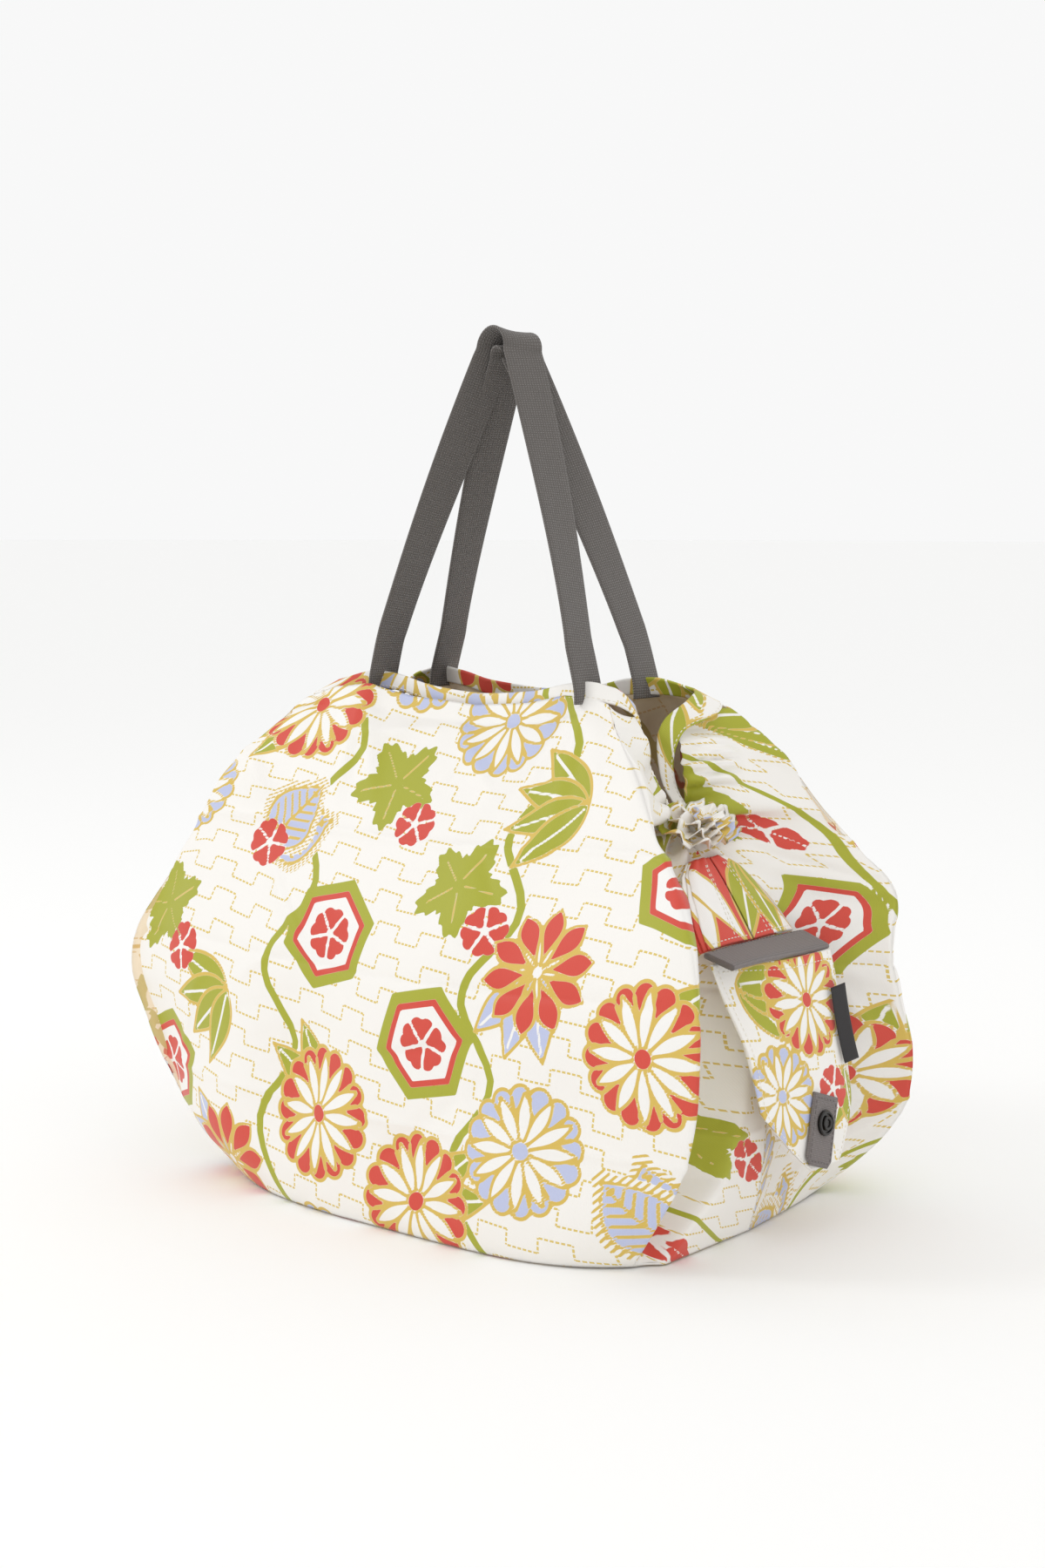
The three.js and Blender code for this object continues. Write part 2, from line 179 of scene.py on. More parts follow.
def unit(v: Array) -> Array:
    """Vectors of the same direction and length one."""
    return v / np.maximum(np.linalg.norm(v, axis=-1, keepdims=True), 1e-9)


def surface_normals(points: Array) -> Array:
    """Unit normals of a grid of points: across the columns turned into up the rows."""
    return unit(np.cross(np.gradient(points, axis=1), np.gradient(points, axis=0)))


def ease(x: Array, low: float, high: float) -> Array:
    """Smooth step from 0 at low to 1 at high."""
    t = np.clip((x - low) / (high - low), 0, 1)
    return t * t * (3 - 2 * t)


# ---------------------------------------------------------------- the print


class Ink(Enum):
    """The print's colours, in the order in which the cloth's material lays them."""

    LILAC = "lilac"
    OLIVE = "olive"
    RED = "red"
    PAPER = "paper"
    GOLD = "gold"


Layer = tuple[Ink, Array]
LINE = 1.05  # half width of a drawn gold outline
BELLY = 0.8  # below 1, a leaf is fullest near its stem
FAR, FIELD = 6.0, 3.0  # distance where nothing is drawn, and the largest that a field keeps


def lens(p: Array, a: Point, b: Point, half: float, belly: float = 1.0) -> Array:
    """Signed distance, about, of a leaf shape: half width times the sine of its run from a to b.

    Args:
        p: Points, one row each.
        a: Stem end.
        b: Tip.
        half: Half width at the fullest place.
        belly: Below 1 the fullest place moves to the stem, above 1 to the tip.
    Returns:
        Distances, below 0 inside.
    """
    a, b = np.asarray(a, float), np.asarray(b, float)
    axis = b - a
    length = np.hypot(*axis)
    t = (p - a) @ axis / length**2
    n = np.abs((p[:, 0] - a[0]) * axis[1] - (p[:, 1] - a[1]) * axis[0]) / length
    over = np.maximum(np.maximum(-t, t - 1), 0) * length
    return np.hypot(n, over) - half * np.sin(np.pi * np.clip(t, 0, 1) ** belly)


def stroke(p: Array, points: Sequence[Point], half: float, count: int = 48) -> Array:
    """Signed distance of a line of constant width through points.

    Args:
        p: Points, one row each.
        points: The line's points.
        half: Half its width.
        count: Straight pieces that it is read as.
    Returns:
        Distances, below 0 inside.
    """
    q = smooth_path(points, count)
    a, d = q[:-1], np.diff(q, axis=0)
    rel = p[:, None, :] - a[None]
    t = np.clip((rel * d).sum(2) / np.maximum((d * d).sum(1), 1e-9), 0, 1)
    return np.linalg.norm(rel - t[..., None] * d, axis=2).min(1) - half


def fold_angle(p: Array, petals: int, turn: float = 0.0) -> tuple[Array, Array]:
    """Folds the plane about its origin into one petal's sector.

    Args:
        p: Points.
        petals: Number of sectors.
        turn: Angle of the first petal.
    Returns:
        Radius and the angle off the nearest petal's middle.
    """
    step = 2 * np.pi / petals
    angle = np.arctan2(p[:, 1], p[:, 0]) - turn
    return np.hypot(p[:, 0], p[:, 1]), angle - step * np.round(angle / step)


def hexagon(p: Array, apothem: float, turn: float = 0.0) -> Array:
    """Signed distance, about, of a regular hexagon with points up and down.

    Args:
        p: Points, one row each.
        apothem: From its middle to the middle of a side.
        turn: Its angle.
    Returns:
        Distances, below 0 inside.
    """
    c, s = math.cos(turn), math.sin(turn)
    x, y = np.abs(p[:, 0] * c + p[:, 1] * s), np.abs(p[:, 1] * c - p[:, 0] * s)
    return np.maximum(x * 0.5 + y * 0.866, x) - apothem


@dataclass
class Mark:
    """One drawn motif: its place on the flat cloth and how far it reaches."""

    centre: Point
    reach: float

    def layers(self, p: Array) -> list[Layer]:
        """Inks and signed distances at points given from the centre, the lowest layer first."""
        raise NotImplementedError


@dataclass
class Rosette(Mark):
    """A round flower: rounded outer petals in one ink under a white star of narrow petals."""

    ink: Ink = Ink.RED
    petals: int = 16
    star: int = 12

    def layers(self, p: Array) -> list[Layer]:
        """Outer petals end on circles; the star's petals are thin lenses from the eye outward.

        Args:
            p: Points from the centre, one row each.
        Returns:
            Inks and distances, the lowest layer first.
        """
        radius = self.reach - 3
        rho, off = fold_angle(p, self.petals, 0.1)
        chord = radius * math.pi / self.petals * 0.9
        cap = np.hypot(rho * np.cos(off) - (radius - chord), rho * np.sin(off)) - chord
        edge = np.abs(rho * np.sin(off)) - rho * math.tan(math.pi / self.petals) * 0.94
        petal = np.where(rho * np.cos(off) > radius - chord, cap, np.maximum(edge, rho - radius))
        rho2, off2 = fold_angle(p, self.star)
        local = np.stack([rho2 * np.cos(off2), rho2 * np.sin(off2)], 1)
        narrow = lens(local, (radius * 0.1, 0), (radius * 0.86, 0), radius * 0.085, 1.15)
        eye = rho - radius * 0.13
        return [
            (Ink.GOLD, np.minimum(petal - LINE, rho - radius + chord)),
            (self.ink, petal + LINE),
            (Ink.GOLD, narrow - 1.9),
            (Ink.PAPER, narrow),
            (Ink.GOLD, eye - 1.2),
            (self.ink, eye),
        ]


@dataclass
class Daisy(Mark):
    """A flower of separate round-ended petals about a small eye."""

    ink: Ink = Ink.RED
    petals: int = 10

    def layers(self, p: Array) -> list[Layer]:
        """Each petal is a lens whose belly lies near the tip.

        Args:
            p: Points from the centre, one row each.
        Returns:
            Inks and distances, the lowest layer first.
        """
        radius = self.reach - 3
        rho, off = fold_angle(p, self.petals, 0.2)
        local = np.stack([rho * np.cos(off), rho * np.sin(off)], 1)
        petal = lens(local, (radius * 0.1, 0), (radius * 1.04, 0), radius * 0.2, 1.7)
        return [(Ink.GOLD, petal - LINE), (self.ink, petal + LINE), (Ink.PAPER, rho - radius * 0.09)]


class Veins(Enum):
    """How a leaf is drawn inside its outline."""

    RIB = "rib"
    FEATHER = "feather"


@dataclass
class Leaf(Mark):
    """A leaf from its centre to a tip, with one rib or a feather's slanted ribs."""

    tip: Point = (0, 0)
    half: float = 10
    ink: Ink = Ink.OLIVE
    veins: Veins = Veins.RIB

    def layers(self, p: Array) -> list[Layer]:
        """The ribs slant forward from the middle line at a fixed pitch.

        Args:
            p: Points from the centre, one row each.
        Returns:
            Inks and distances, the lowest layer first.
        """
        shape = lens(p, (0, 0), self.tip, self.half, BELLY)
        axis = unit(np.asarray(self.tip, float))
        along, across = p @ axis, np.abs(p[:, 0] * axis[1] - p[:, 1] * axis[0])
        if self.veins is Veins.RIB:
            rib = np.maximum(across - 0.8, shape + 2.5)
            return [(Ink.GOLD, shape - LINE), (self.ink, shape + LINE), (Ink.PAPER, rib)]
        pitch = 7.5
        phase = (along - across * 0.8) / pitch
        slant = np.abs(phase - np.round(phase)) * pitch * 0.78 - 1.0
        ribs = np.maximum(np.minimum(slant, across - 1.0), shape + 3.2)
        fringe = np.abs(along / 3.4 - np.round(along / 3.4)) * 3.4 - 0.75
        return [
            (Ink.PAPER, shape - 6.5),
            (Ink.GOLD, np.maximum(fringe, shape - 6.5)),
            (Ink.GOLD, shape - 0.6),
            (self.ink, shape + 1.4),
            (Ink.GOLD, ribs),
        ]


@dataclass
class Line(Mark):
    """A drawn stem through points given from the centre."""

    points: Sequence[Point] = ()
    half: float = 1.9
    ink: Ink = Ink.OLIVE

    def layers(self, p: Array) -> list[Layer]:
        """One line of constant width."""
        return [(self.ink, stroke(p, self.points, self.half))]


@dataclass
class Blossom(Mark):
    """A five-petalled flower with notched petals and a drawn eye."""

    ink: Ink = Ink.RED
    turn: float = 0.3

    def layers(self, p: Array) -> list[Layer]:
        """Each petal joins two discs; the stamens are thin lines with round ends.

        Args:
            p: Points from the centre, one row each.
        Returns:
            Inks and distances, the lowest layer first.
        """
        radius = self.reach - 1
        rho, off = fold_angle(p, 5, self.turn)
        x, y = rho * np.cos(off), rho * np.sin(off)
        petal = np.hypot(x - radius * 0.64, np.abs(y) - radius * 0.2) - radius * 0.3
        petal = np.minimum(petal, np.maximum(np.abs(y) - x * 0.66, x - radius * 0.64))
        petal = np.maximum(petal, 0.9 - x * 0.588 + np.abs(y) * 0.809)
        rho2, off2 = fold_angle(p, 5, self.turn + math.pi / 5)
        x2, y2 = rho2 * np.cos(off2), rho2 * np.sin(off2)
        stamen = np.maximum(np.abs(y2) - 0.7, x2 - radius * 0.42)
        stamen = np.minimum(stamen, np.hypot(x2 - radius * 0.45, y2) - 1.3)
        ring = np.abs(rho - radius * 0.12) - 0.7
        return [(self.ink, petal), (Ink.PAPER, np.minimum(stamen, ring))]


@dataclass
class Tile(Mark):
    """A hexagon with two borders and a blossom in it."""

    borders: Sequence[Ink] = (Ink.OLIVE, Ink.RED)
    widths: Sequence[float] = (7.0, 3.6)
    turn: float = 0.12

    def layers(self, p: Array) -> list[Layer]:
        """Nested hexagons, each smaller by the width of the border outside it.

        Args:
            p: Points from the centre, one row each.
        Returns:
            Inks and distances, the lowest layer first.
        """
        made, apothem = [], (self.reach - 2) * 0.866
        for ink, width in zip(self.borders, self.widths):
            made.append((ink, hexagon(p, apothem, self.turn)))
            apothem -= width
        made.append((Ink.PAPER, hexagon(p, apothem, self.turn)))
        return made + Blossom((0, 0), apothem * 0.84, Ink.RED).layers(p)


@dataclass
class VineLeaf(Mark):
    """A broad leaf of five toothed lobes with thin pale veins."""

    ink: Ink = Ink.OLIVE
    turn: float = 1.57

    def layers(self, p: Array) -> list[Layer]:
        """The outline's radius swings with the angle, and a small quick swing makes the teeth.

        Args:
            p: Points from the centre, one row each.
        Returns:
            Inks and distances, the lowest layer first.
        """
        rho, off = fold_angle(p, 5, self.turn)
        angle = np.arctan2(p[:, 1], p[:, 0])
        radius = self.reach * (0.73 + 0.18 * np.cos(5 * off) + 0.05 * np.cos(25 * angle))
        vein = np.maximum(np.abs(rho * np.sin(off)) - 0.6, rho - radius * 0.78)
        return [(self.ink, (rho - radius) * 0.8), (Ink.GOLD, np.maximum(vein, 4 - rho))]


@dataclass
class Cloth:
    """A length of printed cloth: motifs on a plane that repeats both ways."""

    marks: Sequence[Mark] = ()
    repeat: tuple[float, float] = (620.0, 380.0)

    def fields(self, flat: Array) -> dict[Ink, Array]:
        """Signed distances to each ink, where a later motif hides the ones below it.

        Args:
            flat: Flat places on the cloth, one row each.
        Returns:
            One array for each ink, below 0 inside it.
        """
        out = {ink: np.full(len(flat), FAR) for ink in Ink}
        repeat = np.asarray(self.repeat)
        for mark in self.marks:
            rel = flat - np.asarray(mark.centre)
            rel -= repeat * np.round(rel / repeat)
            near = np.flatnonzero(np.abs(rel).max(1) < mark.reach + 8)
            if not len(near):
                continue
            for ink, distance in mark.layers(rel[near]):
                for other, values in out.items():
                    old = values[near]
                    values[near] = np.minimum(old, distance) if other is ink else np.maximum(old, -distance)
        return {ink: np.clip(values, -FIELD, FIELD) for ink, values in out.items()}


def line_mark(points: Sequence[Point], half: float, ink: Ink) -> Line:
    """A drawn line from points on the cloth: its centre is their mean and its reach covers them all.

    Args:
        points: The line's points.
        half: Half its width.
        ink: Its ink.
    Returns:
        The mark.
    """
    p = np.asarray(points, float)
    centre = p.mean(0)
    reach = float(np.abs(p - centre).max()) + half + 4
    return Line(tuple(centre), reach, tuple(map(tuple, p - centre)), half, ink)


def leaf_mark(a: Point, b: Point, half: float, ink: Ink = Ink.OLIVE, veins: Veins = Veins.RIB) -> Leaf:
    """A leaf from its stem end a to its tip b, both on the cloth."""
    tip = (b[0] - a[0], b[1] - a[1])
    return Leaf(a, math.hypot(*tip) + half + 3, tip, half, ink, veins)


def fan(
    root: Point, turn: float, count: int, length: float, half: float, ink: Ink, veins: Veins = Veins.RIB
) -> list[Mark]:
    """Leaves that spread from one root, evenly to both sides of a direction.

    Args:
        root: Where the leaves meet.
        turn: The direction's angle.
        count: Number of leaves.
        length: Length of each.
        half: Half width of each.
        ink: Their ink.
        veins: How they are drawn inside.
    Returns:
        The leaves.
    """
    made, spread = [], 0.5
    for k in range(count):
        angle = turn + spread * (k - (count - 1) / 2)
        tip = (root[0] + length * math.cos(angle), root[1] + length * math.sin(angle))
        made.append(leaf_mark(root, tip, half, ink, veins))
    return made


def cell_marks(kind: int, at: Point, turn: float) -> tuple[list[Mark], list[Mark]]:
    """One cell of the lattice.

    Args:
        kind: Which of the seven cells it is.
        at: Its place on the cloth.
        turn: Angle of its leaves and tile.
    Returns:
        What lies under the flowers, and the flowers.
    """
    aside = (at[0] + 26, at[1] - 24)
    return (
        (fan(at, turn, 2, 56, 12, Ink.OLIVE), [Rosette(at, 42, Ink.RED)]),
        (fan(at, turn, 4, 52, 10, Ink.OLIVE), []),
        ([], [Rosette(at, 39, Ink.LILAC)]),
        ([], [Tile(at, 37, (Ink.OLIVE, Ink.RED), (6.5, 3.6), turn)]),
        (fan(at, turn, 2, 54, 20, Ink.LILAC, Veins.FEATHER), [Blossom(at, 17, Ink.RED, turn)]),
        (fan(at, turn, 3, 50, 11, Ink.LILAC), [Daisy(at, 37, Ink.RED)]),
        ([VineLeaf(at, 34, Ink.OLIVE, turn)], [Blossom(aside, 16, Ink.RED, turn)]),
    )[kind]


def roll_marks() -> list[Mark]:
    """The main roll's motifs, lowest first: a half-drop lattice with its kinds in rotation.

    Columns stand 77.5 mm apart and rows 95 mm. Every other column is half a row higher. A seeded draw moves
    each motif a little and turns it. An olive vine winds up beside every other column.
    """
    rng = np.random.default_rng(SEED + 30)
    wide, tall, wind, half = 77.5, 95.0, 12, 2.4
    vines = [
        line_mark([(wide * (c + 1) + wind * (-1) ** r, tall / 2 * r) for r in range(9)], half, Ink.OLIVE)
        for c in range(0, 8, 2)
    ]
    low, high = [], []
    for column in range(8):
        for row in range(4):
            x = wide * (column + 0.5) + rng.uniform(-7, 7)
            y = tall * (row + 0.5 * (column % 2)) + 20 + rng.uniform(-8, 8)
            under, over = cell_marks((2 * column + 3 * row) % 7, (x, y), rng.uniform(0, 6.28))
            low += under
            high += over
    return vines + low + high


def strap_marks() -> list[Mark]:
    """The closing strap's motifs: x across from its middle, y up from the tip's start."""
    return [
        *fan((-34, 74), -0.4, 3, 44, 10, Ink.OLIVE),
        Rosette((14, 62), 36, Ink.RED),
        Rosette((-24, 12), 32, Ink.LILAC),
        *fan((40, 18), -1.9, 2, 40, 10, Ink.OLIVE),
        Blossom((24, 8), 15, Ink.RED, 0.5),
    ]


def stack_marks() -> list[Mark]:
    """The pleat stacks' motifs: x from the middle outward, y up. One half is red, the other pale."""
    return [
        Tile((-24, 26), 60, (Ink.RED,), (60.0,), 0.0),
        *fan((30, 60), -1.5, 3, 58, 11, Ink.OLIVE),
        *fan((-22, 62), -1.7, 3, 60, 9, Ink.PAPER),
        leaf_mark((44, 66), (52, 6), 10, Ink.LILAC),
    ]


# ---------------------------------------------------------------- finishes


@dataclass(frozen=True)
class PrintedPolyester:
    """Fine plain-woven polyester, screen printed: smooth with a soft silky shine and crisp flat inks."""

    name: str = "printed_polyester"
    ground: str = "#F4F1EC"
    inks: tuple[str, ...] = ("#BFC6E4", "#A9AB2E", "#D5493A", "#F4F2EE", "#D9B957")
    fret: str = "#DDC36A"
    roughness: float = 0.52
    thread: float = 1.1  # mm; the real thread of 0.2 mm is too fine to show
    edge: float = 0.16  # mm that an ink's edge is soft to either side

    def fret_mask(self, tree: bpy.types.NodeTree, flat: bpy.types.NodeSocket) -> bpy.types.NodeSocket:
        """Dashed stepped lines: a square wave lifts every other length of evenly spaced lines.

        Args:
            tree: The material's tree.
            flat: The flat place on the cloth in metres.
        Returns:
            1 on a dash, 0 off it.
        """

        def calc(kind: str, a: Feed, b: Feed = 0.0) -> bpy.types.NodeSocket:
            """One arithmetic step."""
            return node(tree, "ShaderNodeMath", {"operation": kind}, {0: a, 1: b}).outputs[0]

        cell, rise, pitch, width, foot = 19.0, 9.0, 18.0, 1.2, 3.0
        dash, share, lift = 3.1, 0.7, 16000.0  # the lift keeps MODULO away from values below 0
        place = {"Vector": flat, "Rotation": (0, 0, 0.12), "Scale": (1 / MM,) * 3}
        turned = node(tree, "ShaderNodeMapping", {}, place)
        part = node(tree, "ShaderNodeSeparateXYZ", {}, {0: turned.outputs[0]})
        x, y = part.outputs[0], part.outputs[1]
        # the wave steps up at each even cell edge and down at each odd one; a row starts half a cell on
        row = calc("FLOOR", calc("DIVIDE", y, pitch))
        shifted = calc("ADD", x, calc("MULTIPLY", row, cell * 0.5))
        phase = calc("DIVIDE", shifted, cell)
        step = calc("PINGPONG", calc("FLOOR", phase), 1.0)
        tall = calc("MODULO", calc("ADD", y, lift), pitch)
        level = calc("SUBTRACT", tall, calc("MULTIPLY", step, rise))
        run = calc("LESS_THAN", calc("ABSOLUTE", calc("SUBTRACT", level, foot)), width / 2)
        side = calc("MULTIPLY", calc("ABSOLUTE", calc("SUBTRACT", phase, calc("ROUND", phase))), cell)
        within = calc("MULTIPLY", calc("GREATER_THAN", tall, foot), calc("LESS_THAN", tall, foot + rise))
        riser = calc("MULTIPLY", calc("LESS_THAN", side, width / 2), within)
        dash_x, dash_y = (calc("LESS_THAN", calc("FRACT", calc("DIVIDE", v, dash)), share) for v in (x, y))
        return calc("MAXIMUM", calc("MULTIPLY", run, dash_x), calc("MULTIPLY", riser, dash_y))

    def build(self) -> bpy.types.Material:
        """Lays the inks over the ground by the mesh's distance fields, then bumps the weave."""
        material, tree, shader = new_material(self.name)
        flat = node(tree, "ShaderNodeUVMap", {"uv_map": FLAT}).outputs[0]
        # ground with its fret, then each ink with an edge a third of a millimetre soft
        color = mix(tree, self.fret_mask(tree, flat), linear(self.ground), linear(self.fret))
        for ink, code in zip(Ink, self.inks):
            distance = node(tree, "ShaderNodeAttribute", {"attribute_name": ink.value}).outputs["Fac"]
            edge = {"Value": distance, "From Min": self.edge, "From Max": -self.edge}
            mask = node(tree, "ShaderNodeMapRange", {"clamp": True}, edge).outputs[0]
            color = mix(tree, mask, color, linear(code))
        tree.links.new(color, shader.inputs["Base Color"])
        # the weave gives close-ups their thread, the noise a soft crumpled glint
        scaled = node(tree, "ShaderNodeMapping", {}, {"Vector": flat, "Scale": (1 / MM / self.thread,) * 3})
        wave = {"Vector": scaled.outputs[0], "Scale": 0.32}
        weave = node(tree, "ShaderNodeTexWave", {"bands_direction": "X"}, wave)
        noise = {"Vector": flat, "Scale": 55.0, "Detail": 3.0, "Roughness": 0.55}
        crumple = node(tree, "ShaderNodeTexNoise", {}, noise)
        height = mix(tree, 0.9, weave.outputs["Fac"], crumple.outputs[0], "FLOAT")
        bump = node(tree, "ShaderNodeBump", {}, {"Height": height, "Strength": 0.3, "Distance": 0.0012})
        tree.links.new(bump.outputs[0], shader.inputs["Normal"])
        for key, value in {
            "Roughness": self.roughness,
            "IOR": 1.5,
            "Specular IOR Level": 0.45,
            "Sheen Weight": 0.15,
            "Sheen Roughness": 0.4,
            "Coat Weight": 0.06,
            "Coat Roughness": 0.35,
        }.items():
            shader.inputs[key].default_value = value
        return material


@dataclass(frozen=True)
class RibbedTextile:
    """Woven nylon webbing or grosgrain: a matte ribbed weave with rounded threads across the band."""

    name: str = "nylon_webbing"
    color: str = "#7F7A77"
    dark: str = "#5C5753"
    rib: float = 1.5  # mm between ribs along the band
    warp: float = 1.7  # mm between threads across it
    depth: float = 0.0009
    roughness: float = 0.82

    def build(self) -> bpy.types.Material:
        """Two crossed waves on the flat map make the basket weave, in colour and in bump."""
        material, tree, shader = new_material(self.name)
        flat = node(tree, "ShaderNodeUVMap", {"uv_map": FLAT}).outputs[0]
        waves = []
        for direction, pitch in (("Y", self.rib), ("X", self.warp)):
            settings = {"bands_direction": direction, "wave_profile": "SIN"}
            wave = {"Vector": flat, "Scale": 1000 / pitch * 0.0795 * 4, "Distortion": 0.6, "Detail": 1.0}
            waves.append(node(tree, "ShaderNodeTexWave", settings, wave).outputs["Fac"])
        weave = node(tree, "ShaderNodeMath", {"operation": "MULTIPLY"}, dict(enumerate(waves))).outputs[0]
        # dark gaps between pale threads read as a rib from a distance
        tree.links.new(mix(tree, weave, linear(self.dark), linear(self.color)), shader.inputs["Base Color"])
        bump = node(tree, "ShaderNodeBump", {}, {"Height": weave, "Strength": 0.7, "Distance": self.depth})
        tree.links.new(bump.outputs[0], shader.inputs["Normal"])
        for key, value in {"Roughness": self.roughness, "Sheen Weight": 0.2, "Sheen Roughness": 0.5}.items():
            shader.inputs[key].default_value = value
        return material


@dataclass(frozen=True)
class Plain:
    """A plain finish with a fine grain: moulded acetal, sewing thread, satin label cloth or studio paper."""

    name: str
    color: str
    roughness: float = 0.5
    grain: float = 0.0  # bump height in metres
    scale: float = 900.0
    sheen: float = 0.0

    def build(self) -> bpy.types.Material:
        """A principled surface whose roughness and bump follow a fine noise on Object coordinates."""
        material, tree, shader = new_material(self.name)
        place = node(tree, "ShaderNodeTexCoord").outputs["Object"]
        fine = {"Vector": place, "Scale": self.scale, "Detail": 2.0}
        noise = node(tree, "ShaderNodeTexNoise", {}, fine).outputs[0]
        swing = {"Value": noise, "To Min": self.roughness - 0.06, "To Max": self.roughness + 0.06}
        # uneven roughness breaks the highlight up, so that the surface looks handled
        tree.links.new(node(tree, "ShaderNodeMapRange", {}, swing).outputs[0], shader.inputs["Roughness"])
        if self.grain:
            raised = {"Height": noise, "Strength": 0.5, "Distance": self.grain}
            bump = node(tree, "ShaderNodeBump", {}, raised)
            tree.links.new(bump.outputs[0], shader.inputs["Normal"])
        shader.inputs["Base Color"].default_value = linear(self.color)
        shader.inputs["Sheen Weight"].default_value = self.sheen
        return material


# ---------------------------------------------------------------- mesh building


def write_mesh(
    name: str,
    vertices: Array,
    faces: list,
    flat: Array,
    cloth: Cloth | None,
    skins: Sequence[bpy.types.Material],
    inner_from: int = 0,
) -> bpy.types.Object:
    """Makes an object from millimetre points, with its flat map and the print's distance fields.

    Args:
        name: The piece's name.
        vertices: Points, one row each.
        faces: Vertex numbers of each face.
        flat: Flat place of each vertex.
        cloth: The print, or None for a plain piece.
        skins: Materials, the second for faces from inner_from to the skins' end.
        inner_from: First face of the inner skin, 0 if there is none.
    Returns:
        The new object at the origin.
    """
    mesh = bpy.data.meshes.new(name)
    mesh.from_pydata((vertices * MM).tolist(), [], faces)
    for skin in skins:
        mesh.materials.append(skin)
    if inner_from and len(skins) > 1:
        index = np.zeros(len(mesh.polygons), np.int32)
        index[inner_from:] = 1
        mesh.polygons.foreach_set("material_index", index)
    mesh.polygons.foreach_set("use_smooth", np.ones(len(mesh.polygons), bool))
    corners = np.empty(len(mesh.loops), np.int32)
    mesh.loops.foreach_get("vertex_index", corners)
    mesh.uv_layers.new(name=FLAT).data.foreach_set("uv", (flat[corners] * MM).astype(np.float32).ravel())
    if cloth is not None:
        for ink, values in cloth.fields(flat).items():
            attribute = mesh.attributes.new(ink.value, "FLOAT", "POINT")
            attribute.data.foreach_set("value", values.astype(np.float32))
    work = bmesh.new()
    work.from_mesh(mesh)
    bmesh.ops.recalc_face_normals(work, faces=work.faces)
    work.to_mesh(mesh)
    work.free()
    made = bpy.data.objects.new(name, mesh)
    bpy.context.scene.collection.objects.link(made)
    return made


def cloth_piece(
    name: str,
    points: Array,
    flat: Array,
    cloth: Cloth | None,
    skins: Sequence[bpy.types.Material],
    thickness: float = 0.8,
    coarse: int = 6,
    loop: bool = False,
) -> bpy.types.Object:
    """A closed sheet: a fine outer skin on the given side, a coarser inner skin, and a rim between them.

    Args:
        name: The piece's name.
        points: Grid of middle points, rows by columns by three, whose columns-into-rows turn faces out.
        flat: Flat place of each grid point.
        cloth: The print on it.
        skins: Outer and inner material.
        thickness: Thickness.
        coarse: How many fine cells one inner cell spans each way; divides both counts.
        loop: True if the last column joins the first.
    Returns:
        The new object.
    """
    rows, cols = points.shape[:2]
    if loop:
        wide = np.concatenate([points[:, -1:], points, points[:, :1]], 1)
        normal = surface_normals(wide)[:, 1:-1]
    else:
        normal = surface_normals(points)
    outer = points + normal * thickness / 2
    inner = (points - normal * thickness / 2)[::coarse, ::coarse]
    in_rows, in_cols = inner.shape[:2]
    count = rows * cols

    def quads(r: int, c: int, start: int) -> Array:
        """Faces of one grid.

        Args:
            r: Rows of points.
            c: Points in a row.
            start: Number of its first point.
        Returns:
            Four vertex numbers for each face.
        """
        i, j = np.mgrid[0 : r - 1, 0 : c if loop else c - 1]
        k = (j + 1) % c
        around = np.stack([i * c + j, i * c + k, (i + 1) * c + k, (i + 1) * c + j], -1)
        return (around + start).reshape(-1, 4)

    faces = quads(rows, cols, 0).tolist()
    rim = []
    spans_c = in_cols if loop else in_cols - 1
    for i, a in ((0, 0), (rows - 1, in_rows - 1)):
        for b in range(spans_c):
            fine = [i * cols + (b * coarse + s) % cols for s in range(coarse + 1)]
            rim.append(fine + [count + a * in_cols + (b + 1) % in_cols, count + a * in_cols + b])
    if not loop:
        for j, b in ((0, 0), (cols - 1, in_cols - 1)):
            for a in range(in_rows - 1):
                fine = [(a * coarse + s) * cols + j for s in range(coarse + 1)]
                rim.append(fine + [count + (a + 1) * in_cols + b, count + a * in_cols + b])
    faces += rim
    inner_from = len(faces)
    faces += quads(in_rows, in_cols, count)[:, ::-1].tolist()
    vertices = np.concatenate([outer.reshape(-1, 3), inner.reshape(-1, 3)])
    places = np.concatenate([flat.reshape(-1, 2), flat[::coarse, ::coarse].reshape(-1, 2)])
    return write_mesh(name, vertices, faces, places, cloth, skins, inner_from)


